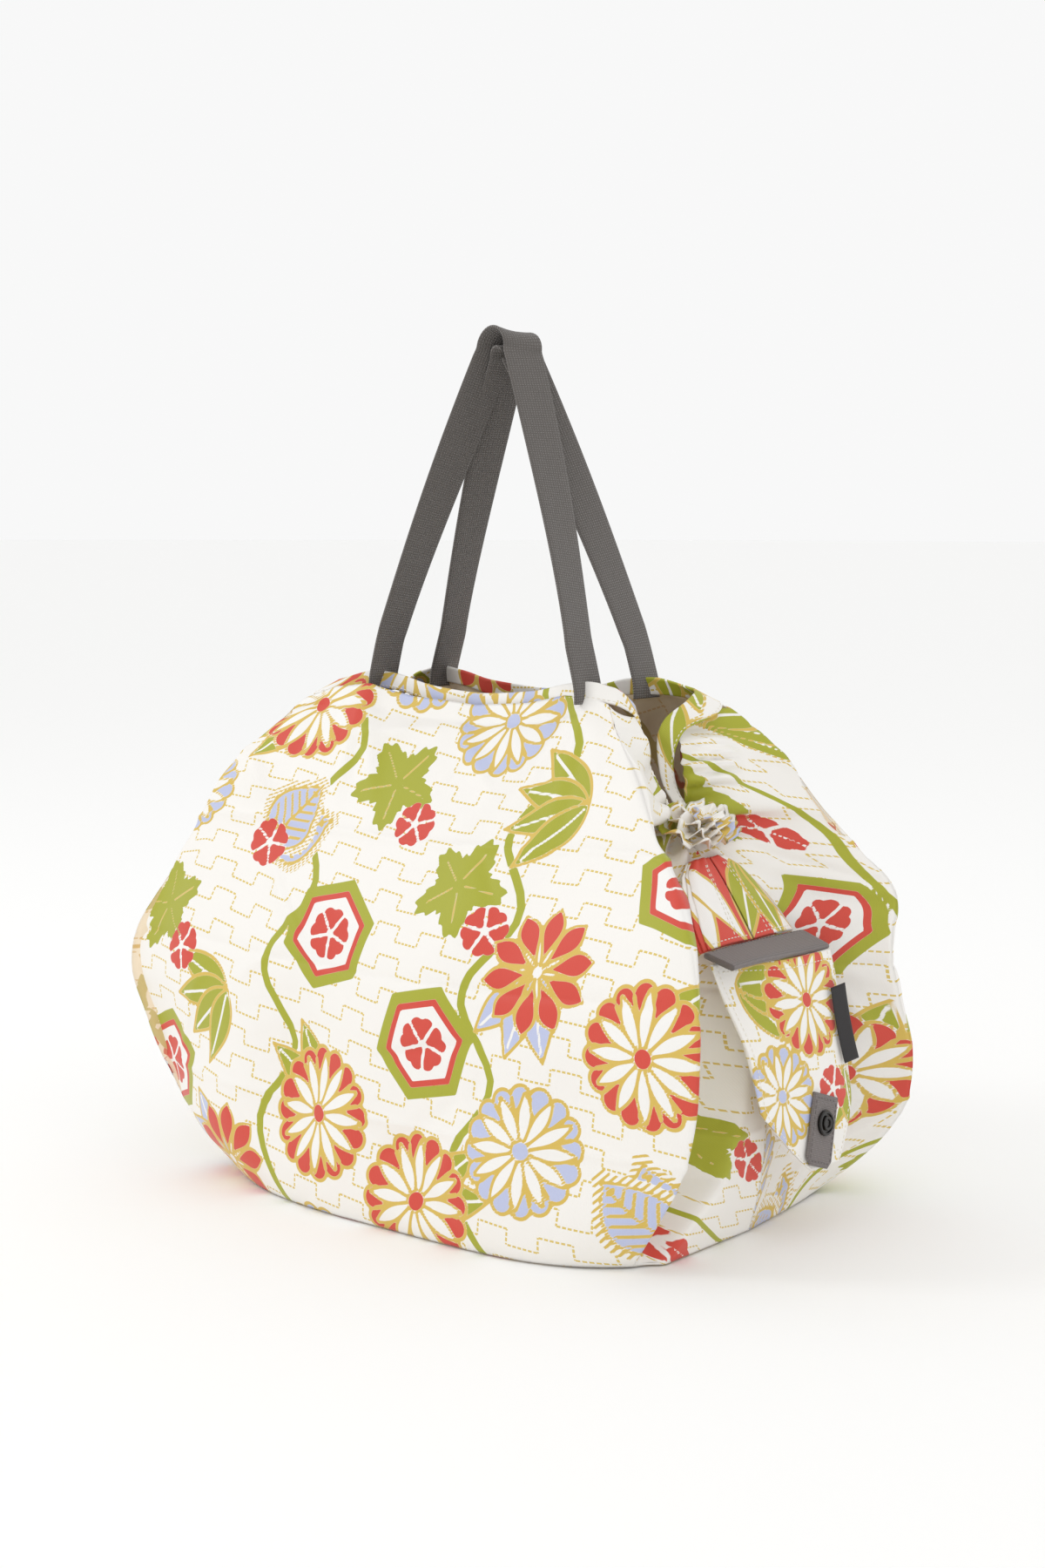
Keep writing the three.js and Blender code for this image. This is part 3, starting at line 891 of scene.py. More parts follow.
def band_piece(
    name: str,
    centre: Array,
    width: Array,
    normal: Array,
    half_width: Array | float,
    half_thick: Array | float,
    cloth: Cloth | None,
    skins: Sequence[bpy.types.Material],
    across: int = 8,
) -> bpy.types.Object:
    """A closed band along a line: two flat faces joined by round edges, both ends capped.

    Args:
        name: The piece's name.
        centre: Middle line.
        width: Unit vectors across the band.
        normal: Unit vectors out of its face.
        half_width: Half width, one number or one for each point.
        half_thick: Half thickness, likewise.
        cloth: The print on it.
        skins: Materials.
        across: Cells across each face.
    Returns:
        The new object.
    """
    n = len(centre)
    a = np.broadcast_to(np.asarray(half_width, float), (n,))[:, None]
    b = np.broadcast_to(np.asarray(half_thick, float), (n,))[:, None]
    turn = np.linspace(0, np.pi, 5)[1:-1]
    face = np.linspace(-1, 1, across + 1)
    zero, one = np.zeros_like(face), np.ones_like(face)
    # one face, round edge, other face, round edge: x as a share of the flat half width plus the edge's bulge
    x_flat = np.concatenate([face, zero[:3] + 1, face[::-1], zero[:3] - 1])
    x_edge = np.concatenate([zero, np.sin(turn), zero, -np.sin(turn)])
    y_edge = np.concatenate([one, np.cos(turn), -one, -np.cos(turn)])
    x = x_flat * (a - b) + x_edge * b
    y = y_edge * b
    points = centre[:, None] + x[..., None] * width[:, None] + y[..., None] * normal[:, None]
    m = points.shape[1]
    along = np.concatenate([[0], np.cumsum(np.linalg.norm(np.diff(centre, axis=0), axis=1))])
    flat = np.stack([x, np.broadcast_to(along[:, None], x.shape)], -1)
    i, j = np.mgrid[0 : n - 1, 0:m]
    k = (j + 1) % m
    faces = np.stack([i * m + j, i * m + k, (i + 1) * m + k, (i + 1) * m + j], -1).reshape(-1, 4).tolist()
    faces += [list(range(m)), list(range((n - 1) * m, n * m))]
    return write_mesh(name, points.reshape(-1, 3), faces, flat.reshape(-1, 2), cloth, skins)


def stitch_piece(
    name: str, lines: Sequence[Array], skin: bpy.types.Material, pitch: float = 3.1, length: float = 2.1
) -> bpy.types.Object:
    """A row of stitches: each is a thin spindle that lies along its line.

    Args:
        name: The piece's name.
        lines: Points along each seam, already on the cloth's face.
        skin: The thread's material.
        pitch: From one stitch to the next.
        length: Length of one stitch.
    Returns:
        The new object.
    """
    sides, radius, taper = 6, 0.32, 0.2  # the taper is the share of its length where a stitch is full
    starts, ends = [], []
    for line in lines:
        run = np.concatenate([[0], np.cumsum(np.linalg.norm(np.diff(line, axis=0), axis=1))])
        at = np.arange(pitch / 2, run[-1] - length, pitch)
        for made, places in ((starts, at), (ends, at + length)):
            made.append(np.stack([np.interp(places, run, line[:, i]) for i in range(3)], 1))
    a, b = np.concatenate(starts), np.concatenate(ends)
    axis = unit(b - a)
    side = unit(np.cross(axis, [0.13, 0.31, 0.94]))
    up = np.cross(axis, side)
    angle = np.arange(sides) * np.pi / 3
    ring = side[:, None] * np.cos(angle)[:, None] + up[:, None] * np.sin(angle)[:, None]
    a, b = a[:, None], b[:, None]
    near, far = a * (1 - taper) + b * taper, a * taper + b * (1 - taper)
    vertices = np.concatenate([a, near + ring * radius, far + ring * radius, b], 1)
    # the near point, two rings and the far point; k and its neighbour go round a ring
    per = 2 * sides + 2
    turns = [(k, (k + 1) % sides) for k in range(sides)]
    near_end = [(0, 1 + k, 1 + n) for k, n in turns]
    far_end = [(per - 1, 1 + sides + n, 1 + sides + k) for k, n in turns]
    around = [(1 + k, 1 + sides + k, 1 + sides + n, 1 + n) for k, n in turns]
    base = np.arange(len(a))[:, None, None] * per
    faces = []
    for kind in (near_end + far_end, around):
        faces += (np.array(kind)[None] + base).reshape(-1, len(kind[0])).tolist()
    flat = np.zeros((len(a) * per, 2))
    return write_mesh(name, vertices.reshape(-1, 3), faces, flat, None, [skin])


def stands_for(piece: bpy.types.Object, body: str, slot: str, *nodes: str) -> bpy.types.Object:
    """Rides a piece on its body and hides the CAD nodes it stands for.

    Args:
        piece: The new object.
        body: The body that carries it.
        slot: Name of its finish; not used.
        nodes: CAD nodes that it stands for.
    Returns:
        The same object.
    """
    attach(piece, body)
    if nodes:
        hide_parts(*nodes)
    log.info("%s: %d faces on %s", piece.name, len(piece.data.polygons), body)
    return piece


# ---------------------------------------------------------------- the bag


# the cloth's reverse face: paler, duller inks show through, and the warm light tan over ground and inks is
# painted light that stands in for light shining through the thin cloth into the bag
REVERSE_GLOW = PrintedPolyester(
    "printed_polyester_reverse_glow",
    "#F4E2C6",
    ("#D9CBC6", "#D2BC7E", "#DB8468", "#F4E2C6", "#DDB877"),
    "#E6C798",
    0.7,
)


class Finishes:
    """The built materials, shared by the sub-assemblies."""

    def __init__(self) -> None:
        """Builds each real material once."""
        # crisp inks with a soft silky shine on the outside; inside, their duller show-through on a warm
        # light tan that is painted light, standing in for light shining through the thin cloth
        self.cloth = PrintedPolyester().build()
        self.reverse_glow = REVERSE_GLOW.build()
        # a coarse matte rib on the handles, and a finer, paler one on tapes and tab
        self.webbing = RibbedTextile().build()
        self.tape = RibbedTextile("polyester_grosgrain", "#8B8280", "#6F6866", 1.0, 1.2, 0.0004).build()
        # the pale dots of the seams
        self.thread = Plain("polyester_sewing_thread", "#EDE8DC", 0.55, 0.0, 900, 0.1).build()
        # near-black and half glossy, so the snap shows a small sharp highlight
        self.acetal = Plain("moulded_acetal", "#17130F", 0.3, 0.00004, 1400).build()
        # near-black with a soft sheen
        self.satin = Plain("woven_satin_label", "#1B1719", 0.55, 0.0002, 1600, 0.2).build()


@dataclass
class Shell:
    """The body: two faces, four end halves folded in between them, and the base, all of one cloth.

    The tables give, at each of the levels, the corner folds' place, the end's middle line, how far the face
    swells and the end tucks in, and how full the shoulders are.
    """

    rim: float = 313.0
    foot: float = 1.2
    thickness: float = 0.8
    levels: tuple = (
        0, 9.4, 25, 59.5, 93.9, 121.1, 149.9, 168.1, 180.9, 190, 211.9, 229.1, 241.9, 272.9, 294.2, 313,
    )
    corner_x: tuple = (167, 174, 186, 205, 216, 219, 216, 209, 203, 197, 180, 163, 150, 122, 103, 91)
    corner_y: tuple = (97, 98, 100, 102, 106, 108, 104, 98, 93, 89, 78, 69, 62, 45, 34, 27)
    centre_x: tuple = (
        177, 180, 184, 188, 187, 184, 179, 172.8, 164.2, 158.1, 143.8, 128.5, 119, 112, 107, 98,
    )
    swell: tuple = (36, 37, 35, 29, 22, 19, 18, 17, 16, 15, 12, 10, 8, 4, 1.5, 1)
    tuck: tuple = (4, 15, 32, 46, 50, 47, 40, 30, 20, 14, 9, 5, 3, 1, 0, 0)
    front_flare: tuple = (-18, -15, -6, 2, 4, 8, 8, 6, 5, 7, 12, 22, 30, 33, 30, 13)
    back_flare: tuple = (-4, 0, 5, 13, 5, -6, -7, 2, 12, 17, 19, 24, 28, 33, 30, 13)
    rows: int = 216
    face_cols: int = 288
    end_cols: int = 60
    shoulder: Point = (0.766, -0.643)  # the way in which the fullness moves the cloth

    def read(self, table: Sequence[float], z: Array) -> Array:
        """A table of the shell at height z."""
        return smooth_table(self.levels, table, z)

    def arc(self, z: Array) -> Array:
        """Distance up the face's cloth from the base to height z, along its middle line.

        Args:
            z: Heights.
        Returns:
            Lengths along the cloth.
        """
        steps = np.linspace(0, self.rim, 400)
        y = self.read(self.corner_y, steps) + self.read(self.swell, steps)
        run = np.concatenate([[0], np.cumsum(np.hypot(np.diff(steps), np.diff(y)))])
        return np.interp(z, steps, run)

    def face_points(self, s: Array, v: Array, flare: Sequence[float]) -> Array:
        """The front face, whose half width and depth follow the corner folds.

        Args:
            s: From -1 to 1 across.
            v: From 0 to 1 up.
            flare: The left shoulder's fullness.
        Returns:
            Points.
        """
        stations = [-1, -0.9, -0.68, -0.4, 0, 0.4, 0.68, 0.9, 1]
        dip = np.interp(s, stations, [18, 10, 8.5, 14, 17, 14, 8.5, 8.5, 12])
        z = self.foot + v * (self.rim - dip - self.foot)
        turn_in = self.turn_in(z)
        x = s * (self.read(self.corner_x, z) - turn_in)
        square = 2 + 3 * ease(z, 90, 0)
        y = -(self.read(self.corner_y, z) + self.read(self.swell, z) * (1 - np.abs(s) ** square)) + turn_in
        full = self.read(flare, z) * ease(-s, 0.1, 1.0)
        return np.stack([x - self.shoulder[0] * full, y + self.shoulder[1] * full, z], -1)

    def turn_in(self, z: Array) -> Array:
        """How far the walls round in at the floor."""
        return 2.5 * np.exp(-z / 3)

    def end_points(self, q: Array, v: Array, flare: Sequence[float] | None) -> Array:
        """Front half of an end, as if at the right.

        Args:
            q: Share of the way from the middle line, or the hem, out to the corner fold.
            v: Share of the height.
            flare: The shoulder's fullness for the smooth half; None for the half that folds into a gusset.
        Returns:
            Points. Past the gusset's edge the cloth drops in by a sine tuck, then rises to the fold.
        """
        flared = flare is not None
        drop = (15.0, 3.0) if flared else (12, 8.0)
        z = self.foot + v * (self.rim - drop[0] - drop[1] * (1 - q * q) - self.foot)
        slit = ease(z, 229, 240)
        if flared:
            low_z, low_x = [238, 250, 264, 272, 280, 287, 296], [127.6, 119.6, 115.5, 115, 115, 116, 119]
            low_y = [-9, -9, -9.6, -11, -15, -20, -36]
        else:
            low_z, low_x = [238, 250, 264, 280, 294, 301], [127.6, 119.6, 112.6, 107.6, 103.6, 100]
            low_y = [-9, -9, -9.4, -10.4, -14, -22]
        slit_x, slit_y = np.interp(z, low_z, low_x), np.interp(z, low_z, low_y)
        inner_x = self.read(self.centre_x, z) * (1 - slit) + slit_x * slit
        inner_y = -0.4 * (1 - slit) + slit_y * slit
        turn_in = self.turn_in(z)
        out_x = self.read(self.corner_x, z) - turn_in
        out_y = -self.read(self.corner_y, z) + turn_in
        if flared:
            edge, depth = 0 * z, 0.45 * self.read(self.tuck, z)
        else:
            edge = np.interp(z, [0, 12, 40, 75, 100, 150, 230], [0.88, 0.74, 0.4, 0.22, 0.16, 0.08, 0.0])
            depth = self.read(self.tuck, z)
        past = np.clip((q - edge) / (1 - edge), 0, 1)
        power = 2.6 + (1 - 2.6) * slit
        x = inner_x + (out_x - inner_x) * past**power - depth * np.sin(np.pi * past) ** 0.8
        y = inner_y + (out_y - inner_y) * q
        if flared:
            full = self.read(flare, z) * q**1.4
            x, y = x + self.shoulder[0] * full, y + self.shoulder[1] * full
        return np.stack([x, y, z], -1)

    def wrap(self, seed: int, flare: Sequence[float]) -> tuple[Array, Array]:
        """The front half of the cloth in one grid, from the left end's middle line round to the right end's.

        Args:
            seed: Sets where its soft dents lie.
            flare: Fullness of its left shoulder.
        Returns:
            Points and flat places.
        """
        v = np.linspace(0, 1, self.rows + 1)[:, None]
        q = np.linspace(0, 1, self.end_cols + 1)[None, :]
        s = np.linspace(-1, 1, self.face_cols + 1)[None, :]
        left = self.end_points(*np.broadcast_arrays(q, v), flare) * (-1, 1, 1)
        face = self.face_points(*np.broadcast_arrays(s, v), flare)
        right = self.end_points(*np.broadcast_arrays(q[:, ::-1], v), None)
        # the ends' outer columns meet the face's edge columns exactly
        for end, edge, weight in ((left, face[:, 0], q), (right, face[:, -1], q[:, ::-1])):
            col = -1 if end is left else 0
            end += ((edge - end[:, col])[:, None]) * weight[..., None] ** 3
        points = np.concatenate([left[:, :-1], face, right[:, 1:]], 1)
        height = self.arc(face[:, self.face_cols // 2, 2])[:, None]
        k = self.end_cols
        flat_x = points[..., 0].copy()
        inward = 1.15 * (points[..., 1] - points[:, k : k + 1, 1])
        flat_x[:, :k] = (face[:, :1, 0] - inward)[:, :k]
        inward = 1.15 * (points[..., 1] - points[:, -k - 1 : -k, 1])
        flat_x[:, -k:] = (face[:, -1:, 0] + inward)[:, -k:]
        flat = np.stack([flat_x, np.broadcast_to(height, flat_x.shape)], -1)
        kernel = np.exp(-np.linspace(-1.6, 1.6, 5) ** 2)
        kernel /= kernel.sum()
        padded = np.pad(points, ((0, 0), (2, 2), (0, 0)), mode="edge")
        soft = sum(w * padded[:, i : i + points.shape[1]] for i, w in enumerate(kernel))
        soft[:, :2], soft[:, -2:] = points[:, :2], points[:, -2:]
        return soft + surface_normals(soft) * self.relief(soft, flat, seed)[..., None], flat

    def relief(self, points: Array, flat: Array, seed: int) -> Array:
        """How far the cloth stands off its smooth shape.

        Args:
            points: The smooth shape.
            flat: Flat places.
            seed: Random seed of the dents.
        Returns:
            Heights: pressed creases every 82 mm, long soft dents, drag lines from the handles and puckers
            that spread from the gather.
        """
        rng = np.random.default_rng(seed)
        x, y = flat[..., 0], flat[..., 1]
        height = np.zeros_like(x)
        for k in range(1, 5):
            level = 82 * k - 18
            height += (1.7 if k % 2 else -1.7) * np.exp(-np.abs(y - level) / 3.0)
        for _ in range(12):
            angle, wave = rng.uniform(-0.5, 0.5), rng.uniform(70, 170)
            phase, amount = rng.uniform(0, 6.28), rng.uniform(0.35, 0.9)
            run = x * math.cos(angle) + y * math.sin(angle)
            height += 1.5 * amount * np.sin(run * 2 * np.pi / wave + phase) * ease(y, 10, 60)
        for _ in range(46):
            cx, cy = rng.uniform(-290, 290), rng.uniform(20, 320)
            angle, long, wide = rng.uniform(0, np.pi), rng.uniform(18, 46), rng.uniform(3.5, 8)
            u = (x - cx) * math.cos(angle) + (y - cy) * math.sin(angle)
            w = -(x - cx) * math.sin(angle) + (y - cy) * math.cos(angle)
            height += rng.uniform(-2.7, 2.7) * np.exp(-((u / long) ** 2) - (w / wide) ** 2)
        for side in (-81, 81):
            for lean, amount in ((0.05, 4.0), (-0.32, 2.6), (0.4, 2.6)):
                away = x - side - lean * (330 - y)
                spread = 5 + (330 - y) * 0.06
                height += amount * np.exp(-((away / spread) ** 2)) * ease(y, 190, 318)
        for mirror in (-1, 1):
            rel = points * (mirror, 1, 1) - np.asarray(GATHER)
            r = np.linalg.norm(rel, axis=-1)
            angle = np.arctan2(rel[..., 1], rel[..., 2])
            height += 3.6 * np.exp(-(((r - 24) / 20) ** 2)) * np.sin(angle * 9 + 0.8 * np.sin(angle * 3))
            height += 2.2 * np.exp(-(((r - 50) / 26) ** 2)) * np.sin(angle * 5 + 1)
        pouch = np.linalg.norm((points - (-124, -27, 262)) * (1, 0.8, 1), axis=-1)
        height += 15 * np.exp(-((pouch / 18) ** 4)) * (1 + 0.16 * np.sin(points[..., 2] * 0.8))
        free = ease(np.minimum(np.abs(points[..., 2] - self.foot), 18), 0, 18)
        rim_hold = 1 - 0.75 * ease(y, 305, 322)
        centre = ease(np.abs(points[..., 1]), 0, 12)
        return height * free * rim_hold * (0.25 + 0.75 * centre)

    def build(self, cloth: Cloth, skins: Finishes) -> None:
        """Cuts each half at its corner folds into a face and two end halves. The back is turned round.

        Args:
            cloth: The print.
            skins: The built materials.
        """
        pair = (skins.cloth, skins.reverse_glow)
        k, last = self.end_cols, self.end_cols + self.face_cols
        cuts = (slice(0, k + 1), slice(k, last + 1), slice(last, None))
        names = {
            "front": ("left_end_front", "front_panel", "right_end_front"),
            "back": ("right_end_back", "back_panel", "left_end_back"),
        }
        halves = (("front", SEED, self.front_flare), ("back", SEED + 4, self.back_flare))
        for side, seed, flare in halves:
            points, flat = self.wrap(seed, flare)
            if side == "back":
                points, flat = points * (-1, -1, 1), flat + BACK_SHIFT
            for node_name, cut in zip(names[side], cuts):
                coarse = 3 if "panel" in node_name else 2
                grid = (points[:, cut], flat[:, cut])
                piece = cloth_piece(node_name + "_cloth", *grid, cloth, pair, self.thickness, coarse)
                stands_for(piece, "bag", "printed_cloth", node_name)
        self.build_base(cloth, pair)

    def build_base(self, cloth: Cloth, pair: tuple) -> None:
        """The base: rings of the faces' lowest outline, drawn in to the middle, with a slight ripple.

        Args:
            cloth: The print.
            pair: Outer and inner material.
        """
        row = self.wrap(SEED, self.front_flare)[0][0, ::4]
        turned = self.wrap(SEED + 4, self.back_flare)[0][0, ::4]
        outline = np.concatenate([row, turned[1:-1] * (-1, -1, 1)])
        outline = outline[: len(outline) // 6 * 6]
        share = np.linspace(1.0, 0.012, 31)[:, None, None]
        rings = outline[None] * share
        r = np.hypot(rings[..., 0], rings[..., 1])
        rings[..., 2] = 0.9 + 0.35 * np.sin(rings[..., 0] / 23) * np.cos(rings[..., 1] / 17) * ease(r, 0, 60)
        rings[..., 2] += 1.1 * ease(share[..., 0], 0.93, 1.0)
        flat = rings[..., :2] + (60, -150)
        base = cloth_piece("bottom_panel_cloth", rings, flat, cloth, pair, self.thickness, 6, True)
        stands_for(base, "bag", "printed_cloth", "bottom_panel")


@dataclass
class Hem:
    """The folded rim: one band round each half of the mouth and down both slits, with a row of stitches."""

    right_top: tuple = (
        (0, -28.9, 303), (40, -28.9, 306), (66, -28.6, 311.5), (86, -28, 313), (94, -18, 308.5),
        (98, -7.5, 299), (100, -4.8, 284), (103, -3.8, 268), (110, -3.3, 254), (119, -3.2, 242),
    )
    right_low: tuple = (
        (0, -30.4, 293), (40, -30.4, 296), (66, -30.6, 301.5), (88, -31, 302.5), (99.5, -26, 300),
        (105, -14, 293), (107.5, -9.8, 279), (112, -8.8, 263.5), (119, -8.4, 249.5), (127, -8.6, 238),
    )
    left_top: tuple = (
        (0, -28.9, 303), (-40, -28.9, 306), (-66, -28.8, 311.5), (-88, -28.5, 312.5), (-108, -37, 307),
        (-114, -23, 301), (-109, -8.5, 291), (-106, -4.8, 278), (-110, -3.6, 256), (-119, -3.2, 242),
    )
    left_low: tuple = (
        (0, -30.4, 293), (-40, -30.4, 296), (-66, -31, 301.5), (-90, -34, 302), (-117, -49, 298.5),
        (-125, -38, 292.5), (-118, -16.5, 284), (-115, -9.8, 268), (-118, -8.7, 252), (-127, -8.6, 238),
    )
    thick: float = 1.9

    def build(self, cloth: Cloth, skins: Finishes) -> None:
        """Bands through the rim's top and lower edge, turned round to the back.

        Args:
            cloth: The print.
            skins: The built materials.
        """
        lines = []
        for left, right in ((self.left_top, self.right_top), (self.left_low, self.right_low)):
            lines.append(np.concatenate([np.asarray(left, float)[:0:-1], np.asarray(right, float)]))
        n = 361
        run = np.linspace(0, 1, len(lines[0]))
        t = np.linspace(0, 1, n)
        top, low = (np.stack([smooth_table(run, line[:, i], t) for i in range(3)], 1) for line in lines)
        wave = 0.5 * np.sin(t * 61) + 0.4 * np.sin(t * 97 + 1)
        for side in ("front", "back"):
            flip = (1, 1, 1) if side == "front" else (-1, -1, 1)
            hi, lo = top * flip, low * flip
            centre, across = (hi + lo) / 2, hi - lo
            width = unit(across)
            tangent = unit(np.gradient(centre, axis=0))
            normal = unit(np.cross(tangent, width))
            centre = centre + normal * wave[:, None]
            half = np.linalg.norm(across, axis=1) / 2
            name, skin = side + "_hem_band", (skins.cloth,)
            band = band_piece(name, centre, width, normal, half, self.thick / 2, cloth, skin)
            self.lay_flat(band, centre, cloth, side)
            stands_for(band, "bag", "printed_cloth", side + "_hem")
            seam = centre - width * (half - 1.6)[:, None] + normal * (self.thick / 2 + 0.1)
            stitches = stitch_piece(side + "_hem_stitches", [seam[4:-4]], skins.thread)
            stands_for(stitches, "bag", "printed_cloth")

    def lay_flat(self, band: bpy.types.Object, centre: Array, cloth: Cloth, side: str) -> None:
        """Turns the band's flat map so that the print runs on from the face below it.

        Args:
            band: The hem's band.
            centre: Its middle line.
            cloth: The print.
            side: Front or back.
        """
        mesh = band.data
        corners = np.empty(len(mesh.loops), np.int32)
        mesh.loops.foreach_get("vertex_index", corners)
        uv = np.empty(len(mesh.loops) * 2, np.float32)
        mesh.uv_layers[FLAT].data.foreach_get("uv", uv)
        uv = uv.reshape(-1, 2) / MM
        length = np.linalg.norm(np.diff(centre, axis=0), axis=1).sum()
        along, across = uv[:, 1] - length / 2, uv[:, 0]
        new = np.stack([along, 330 + across], 1)
        if side == "back":
            new = new + BACK_SHIFT
        mesh.uv_layers[FLAT].data.foreach_set("uv", (new * MM).astype(np.float32).ravel())
        flat = np.zeros((len(mesh.vertices), 2))
        flat[corners] = new
        for ink, values in cloth.fields(flat).items():
            mesh.attributes[ink.value].data.foreach_set("value", values.astype(np.float32))


@dataclass
class Gather:
    """The gathered frill at the foot of each slit: fluted rings of cloth, one inside the other."""

    centre: tuple[float, float, float] = GATHER
    tilt: float = 0.6
    # inner and outer radius, number of flutes, lift and swing of each ring
    rings: tuple = (
        (12.5, 26.0, 8, -1.0, 4.2),
        (7.5, 21.5, 7, 2.0, 4.4),
        (3.0, 16.0, 6, 5.0, 3.6),
        (0.8, 9.5, 4, 8.0, 2.6),
    )

    def build(self, cloth: Cloth, skins: Finishes) -> None:
        """Each ring's radius and height swing with the angle, more towards its free edge.

        Args:
            cloth: The print.
            skins: The built materials.
        """
        for side, mirror in (("right", 1), ("left", -1)):
            for index, (start, stop, waves, lift, swing) in enumerate(self.rings):
                angle = np.linspace(0, 2 * np.pi, 181)[:-1][None]
                w = np.linspace(0, 1, 13)[:, None]
                phase = angle * waves + index * 1.3 + 0.8 * np.sin(angle * 2 + index)
                radius = start + (stop - start) * w + 1.6 * w * np.sin(phase * 2 + 1)
                radius = radius * (1 - 0.3 * np.clip(np.cos(angle), 0, 1) ** 2)
                rise = lift - 6 * (1 - w) ** 2 + swing * w * np.sin(phase) + 1.0 * w * np.sin(phase * 2.3)
                x, y = radius * np.cos(angle) * 0.78, radius * np.sin(angle) * 1.3
                c, s = math.cos(self.tilt), math.sin(self.tilt)
                points = np.stack([x * c + rise * s, y, rise * c - x * s], -1) + self.centre
                along, up = angle * 15 + 26 + 14 * index, 262 + w * 16 + 17 * index
                flat = np.stack(np.broadcast_arrays(along, up), -1)
                points = points * (mirror, 1, 1)
                if mirror < 0:
                    points, flat = points[:, ::-1], flat[:, ::-1]
                frill = cloth_piece(
                    f"{side}_gather_frill_{index + 1}", points[::-1], flat[::-1], cloth,
                    (skins.cloth, skins.reverse_glow), 0.7, 6, True,
                )
                stands_for(frill, "bag", "printed_cloth", *([side + "_gather"] if index == 0 else []))


@dataclass
class PleatStack:
    """The stitched tongue of folded cloth between gather and end tape, in two halves of three layers."""

    top: Point = (147.0, 214.0)
    low: Point = (176.6, 169.4)
    length: float = 53.5
    layers: int = 3

    def half_width(self, v: Array) -> Array:
        """From 45.5 mm at the tape to a rounded neck at the gather."""
        return np.interp(v, [0, 0.25, 0.6, 0.85, 1], [45.5, 44, 38, 30, 19])

    def build(self, cloth: Cloth, skins: Finishes) -> None:
        """Layers lie one on another, each a little narrower than the one below, stitched through the top.

        Args:
            cloth: The print.
            skins: The built materials.
        """
        slope = unit(np.array([self.low[0] - self.top[0], 0, self.low[1] - self.top[1]]))
        out = np.array([-slope[2], 0, slope[0]])
        for side, mirror in (("right", 1), ("left", -1)):
            for half, sign in (("front", -1), ("back", 1)):
                seams, names = [], [f"{side}_stack_{half}"]
                for layer in range(self.layers):
                    v = np.linspace(0, 1, 43)[:, None]
                    u = np.linspace(0, 1, 43)[None]
                    wide = self.half_width(v) - layer * 2.2 + 1.2 * np.sin(v * 5 + layer)
                    across = 0.8 + (wide - 0.8) * u
                    rise = -1.6 + layer * 1.75 + 2.2 * np.sin(np.pi * u) * (1 - 0.5 * v) - 1.6 * u**6
                    rise = rise + 0.5 * np.sin(u * 14 + layer) * v - (0.8 + 0.75 * layer) * v**4
                    along = np.array([self.low[0], 0, self.low[1]]) - v[..., None] * slope * self.length
                    points = along + out * rise[..., None] + (sign * across)[..., None] * (0, 1, 0)
                    flat = np.stack([sign * across, self.length * v + 0 * u], -1) + 4 * layer
                    points = points * (mirror, 1, 1)
                    if sign * mirror < 0:
                        points, flat = points[:, ::-1], flat[:, ::-1]
                    name = f"{side}_stack_{half}_layer_{layer + 1}"
                    piece = cloth_piece(name, points, flat, cloth, (skins.cloth, skins.reverse_glow))
                    covers = names if layer == 0 else []
                    stands_for(piece, side + "_pleat_stack", "printed_cloth", *covers)
                # two rows up the top layer and one along its foot, just off its face
                lift = out * (mirror, 1, 1) * 0.5
                for share in (0.34, 0.42):
                    col = int(42 * (share if sign * mirror > 0 else 1 - share))
                    seams.append(points[2:-3, col] + lift)
                seams.append(points[2, 2:-2] + lift)
                stitches = stitch_piece(f"{side}_stack_{half}_stitches", seams, skins.thread)
                stands_for(stitches, side + "_pleat_stack", "printed_cloth")


@dataclass
class EndTape:
    """The folded grosgrain tape that binds the lower end of a stack."""

    inner: Point = (178.2, 168.2)
    width: float = 21.0
    thick: float = 4.4
    length: float = 97.0
    drop: float = 0.3

    def build(self, skins: Finishes) -> None:
        """A thick band along Y whose outer edge drops, with a slight bow and a stitched edge.

        Args:
            skins: The built materials.
        """
        for side, mirror in (("right", 1), ("left", -1)):
            t = np.linspace(-1, 1, 61)
            drop = self.drop + 0.05 * np.sin(t * 2.2)
            width = np.stack([np.cos(drop), 0 * t, -np.sin(drop)], 1)
            normal = np.stack([np.sin(drop), 0 * t, np.cos(drop)], 1)
            base = np.array([self.inner[0], 0, self.inner[1]])
            centre = base + width * self.width / 2 + np.stack([0 * t, t * self.length / 2, 0 * t], 1)
            centre = centre + normal * (0.5 * np.cos(t * 1.5))[:, None]
            half_thick = self.thick / 2 * (1 - 0.25 * np.abs(t) ** 6)
            flip = np.array((mirror, 1, 1))
            band = band_piece(
                side + "_tape_band", centre * flip, width * flip, normal * flip, self.width / 2, half_thick,
                None, (skins.tape,),
            )
            stands_for(band, side + "_pleat_stack", "grosgrain_tape", side + "_tape")
            seam = centre - width * (self.width / 2 - 2.0) + normal * (half_thick + 0.05)[:, None]
            stitches = stitch_piece(side + "_tape_stitches", [(seam * flip)[2:-2]], skins.tape)
            stands_for(stitches, side + "_pleat_stack", "grosgrain_tape")


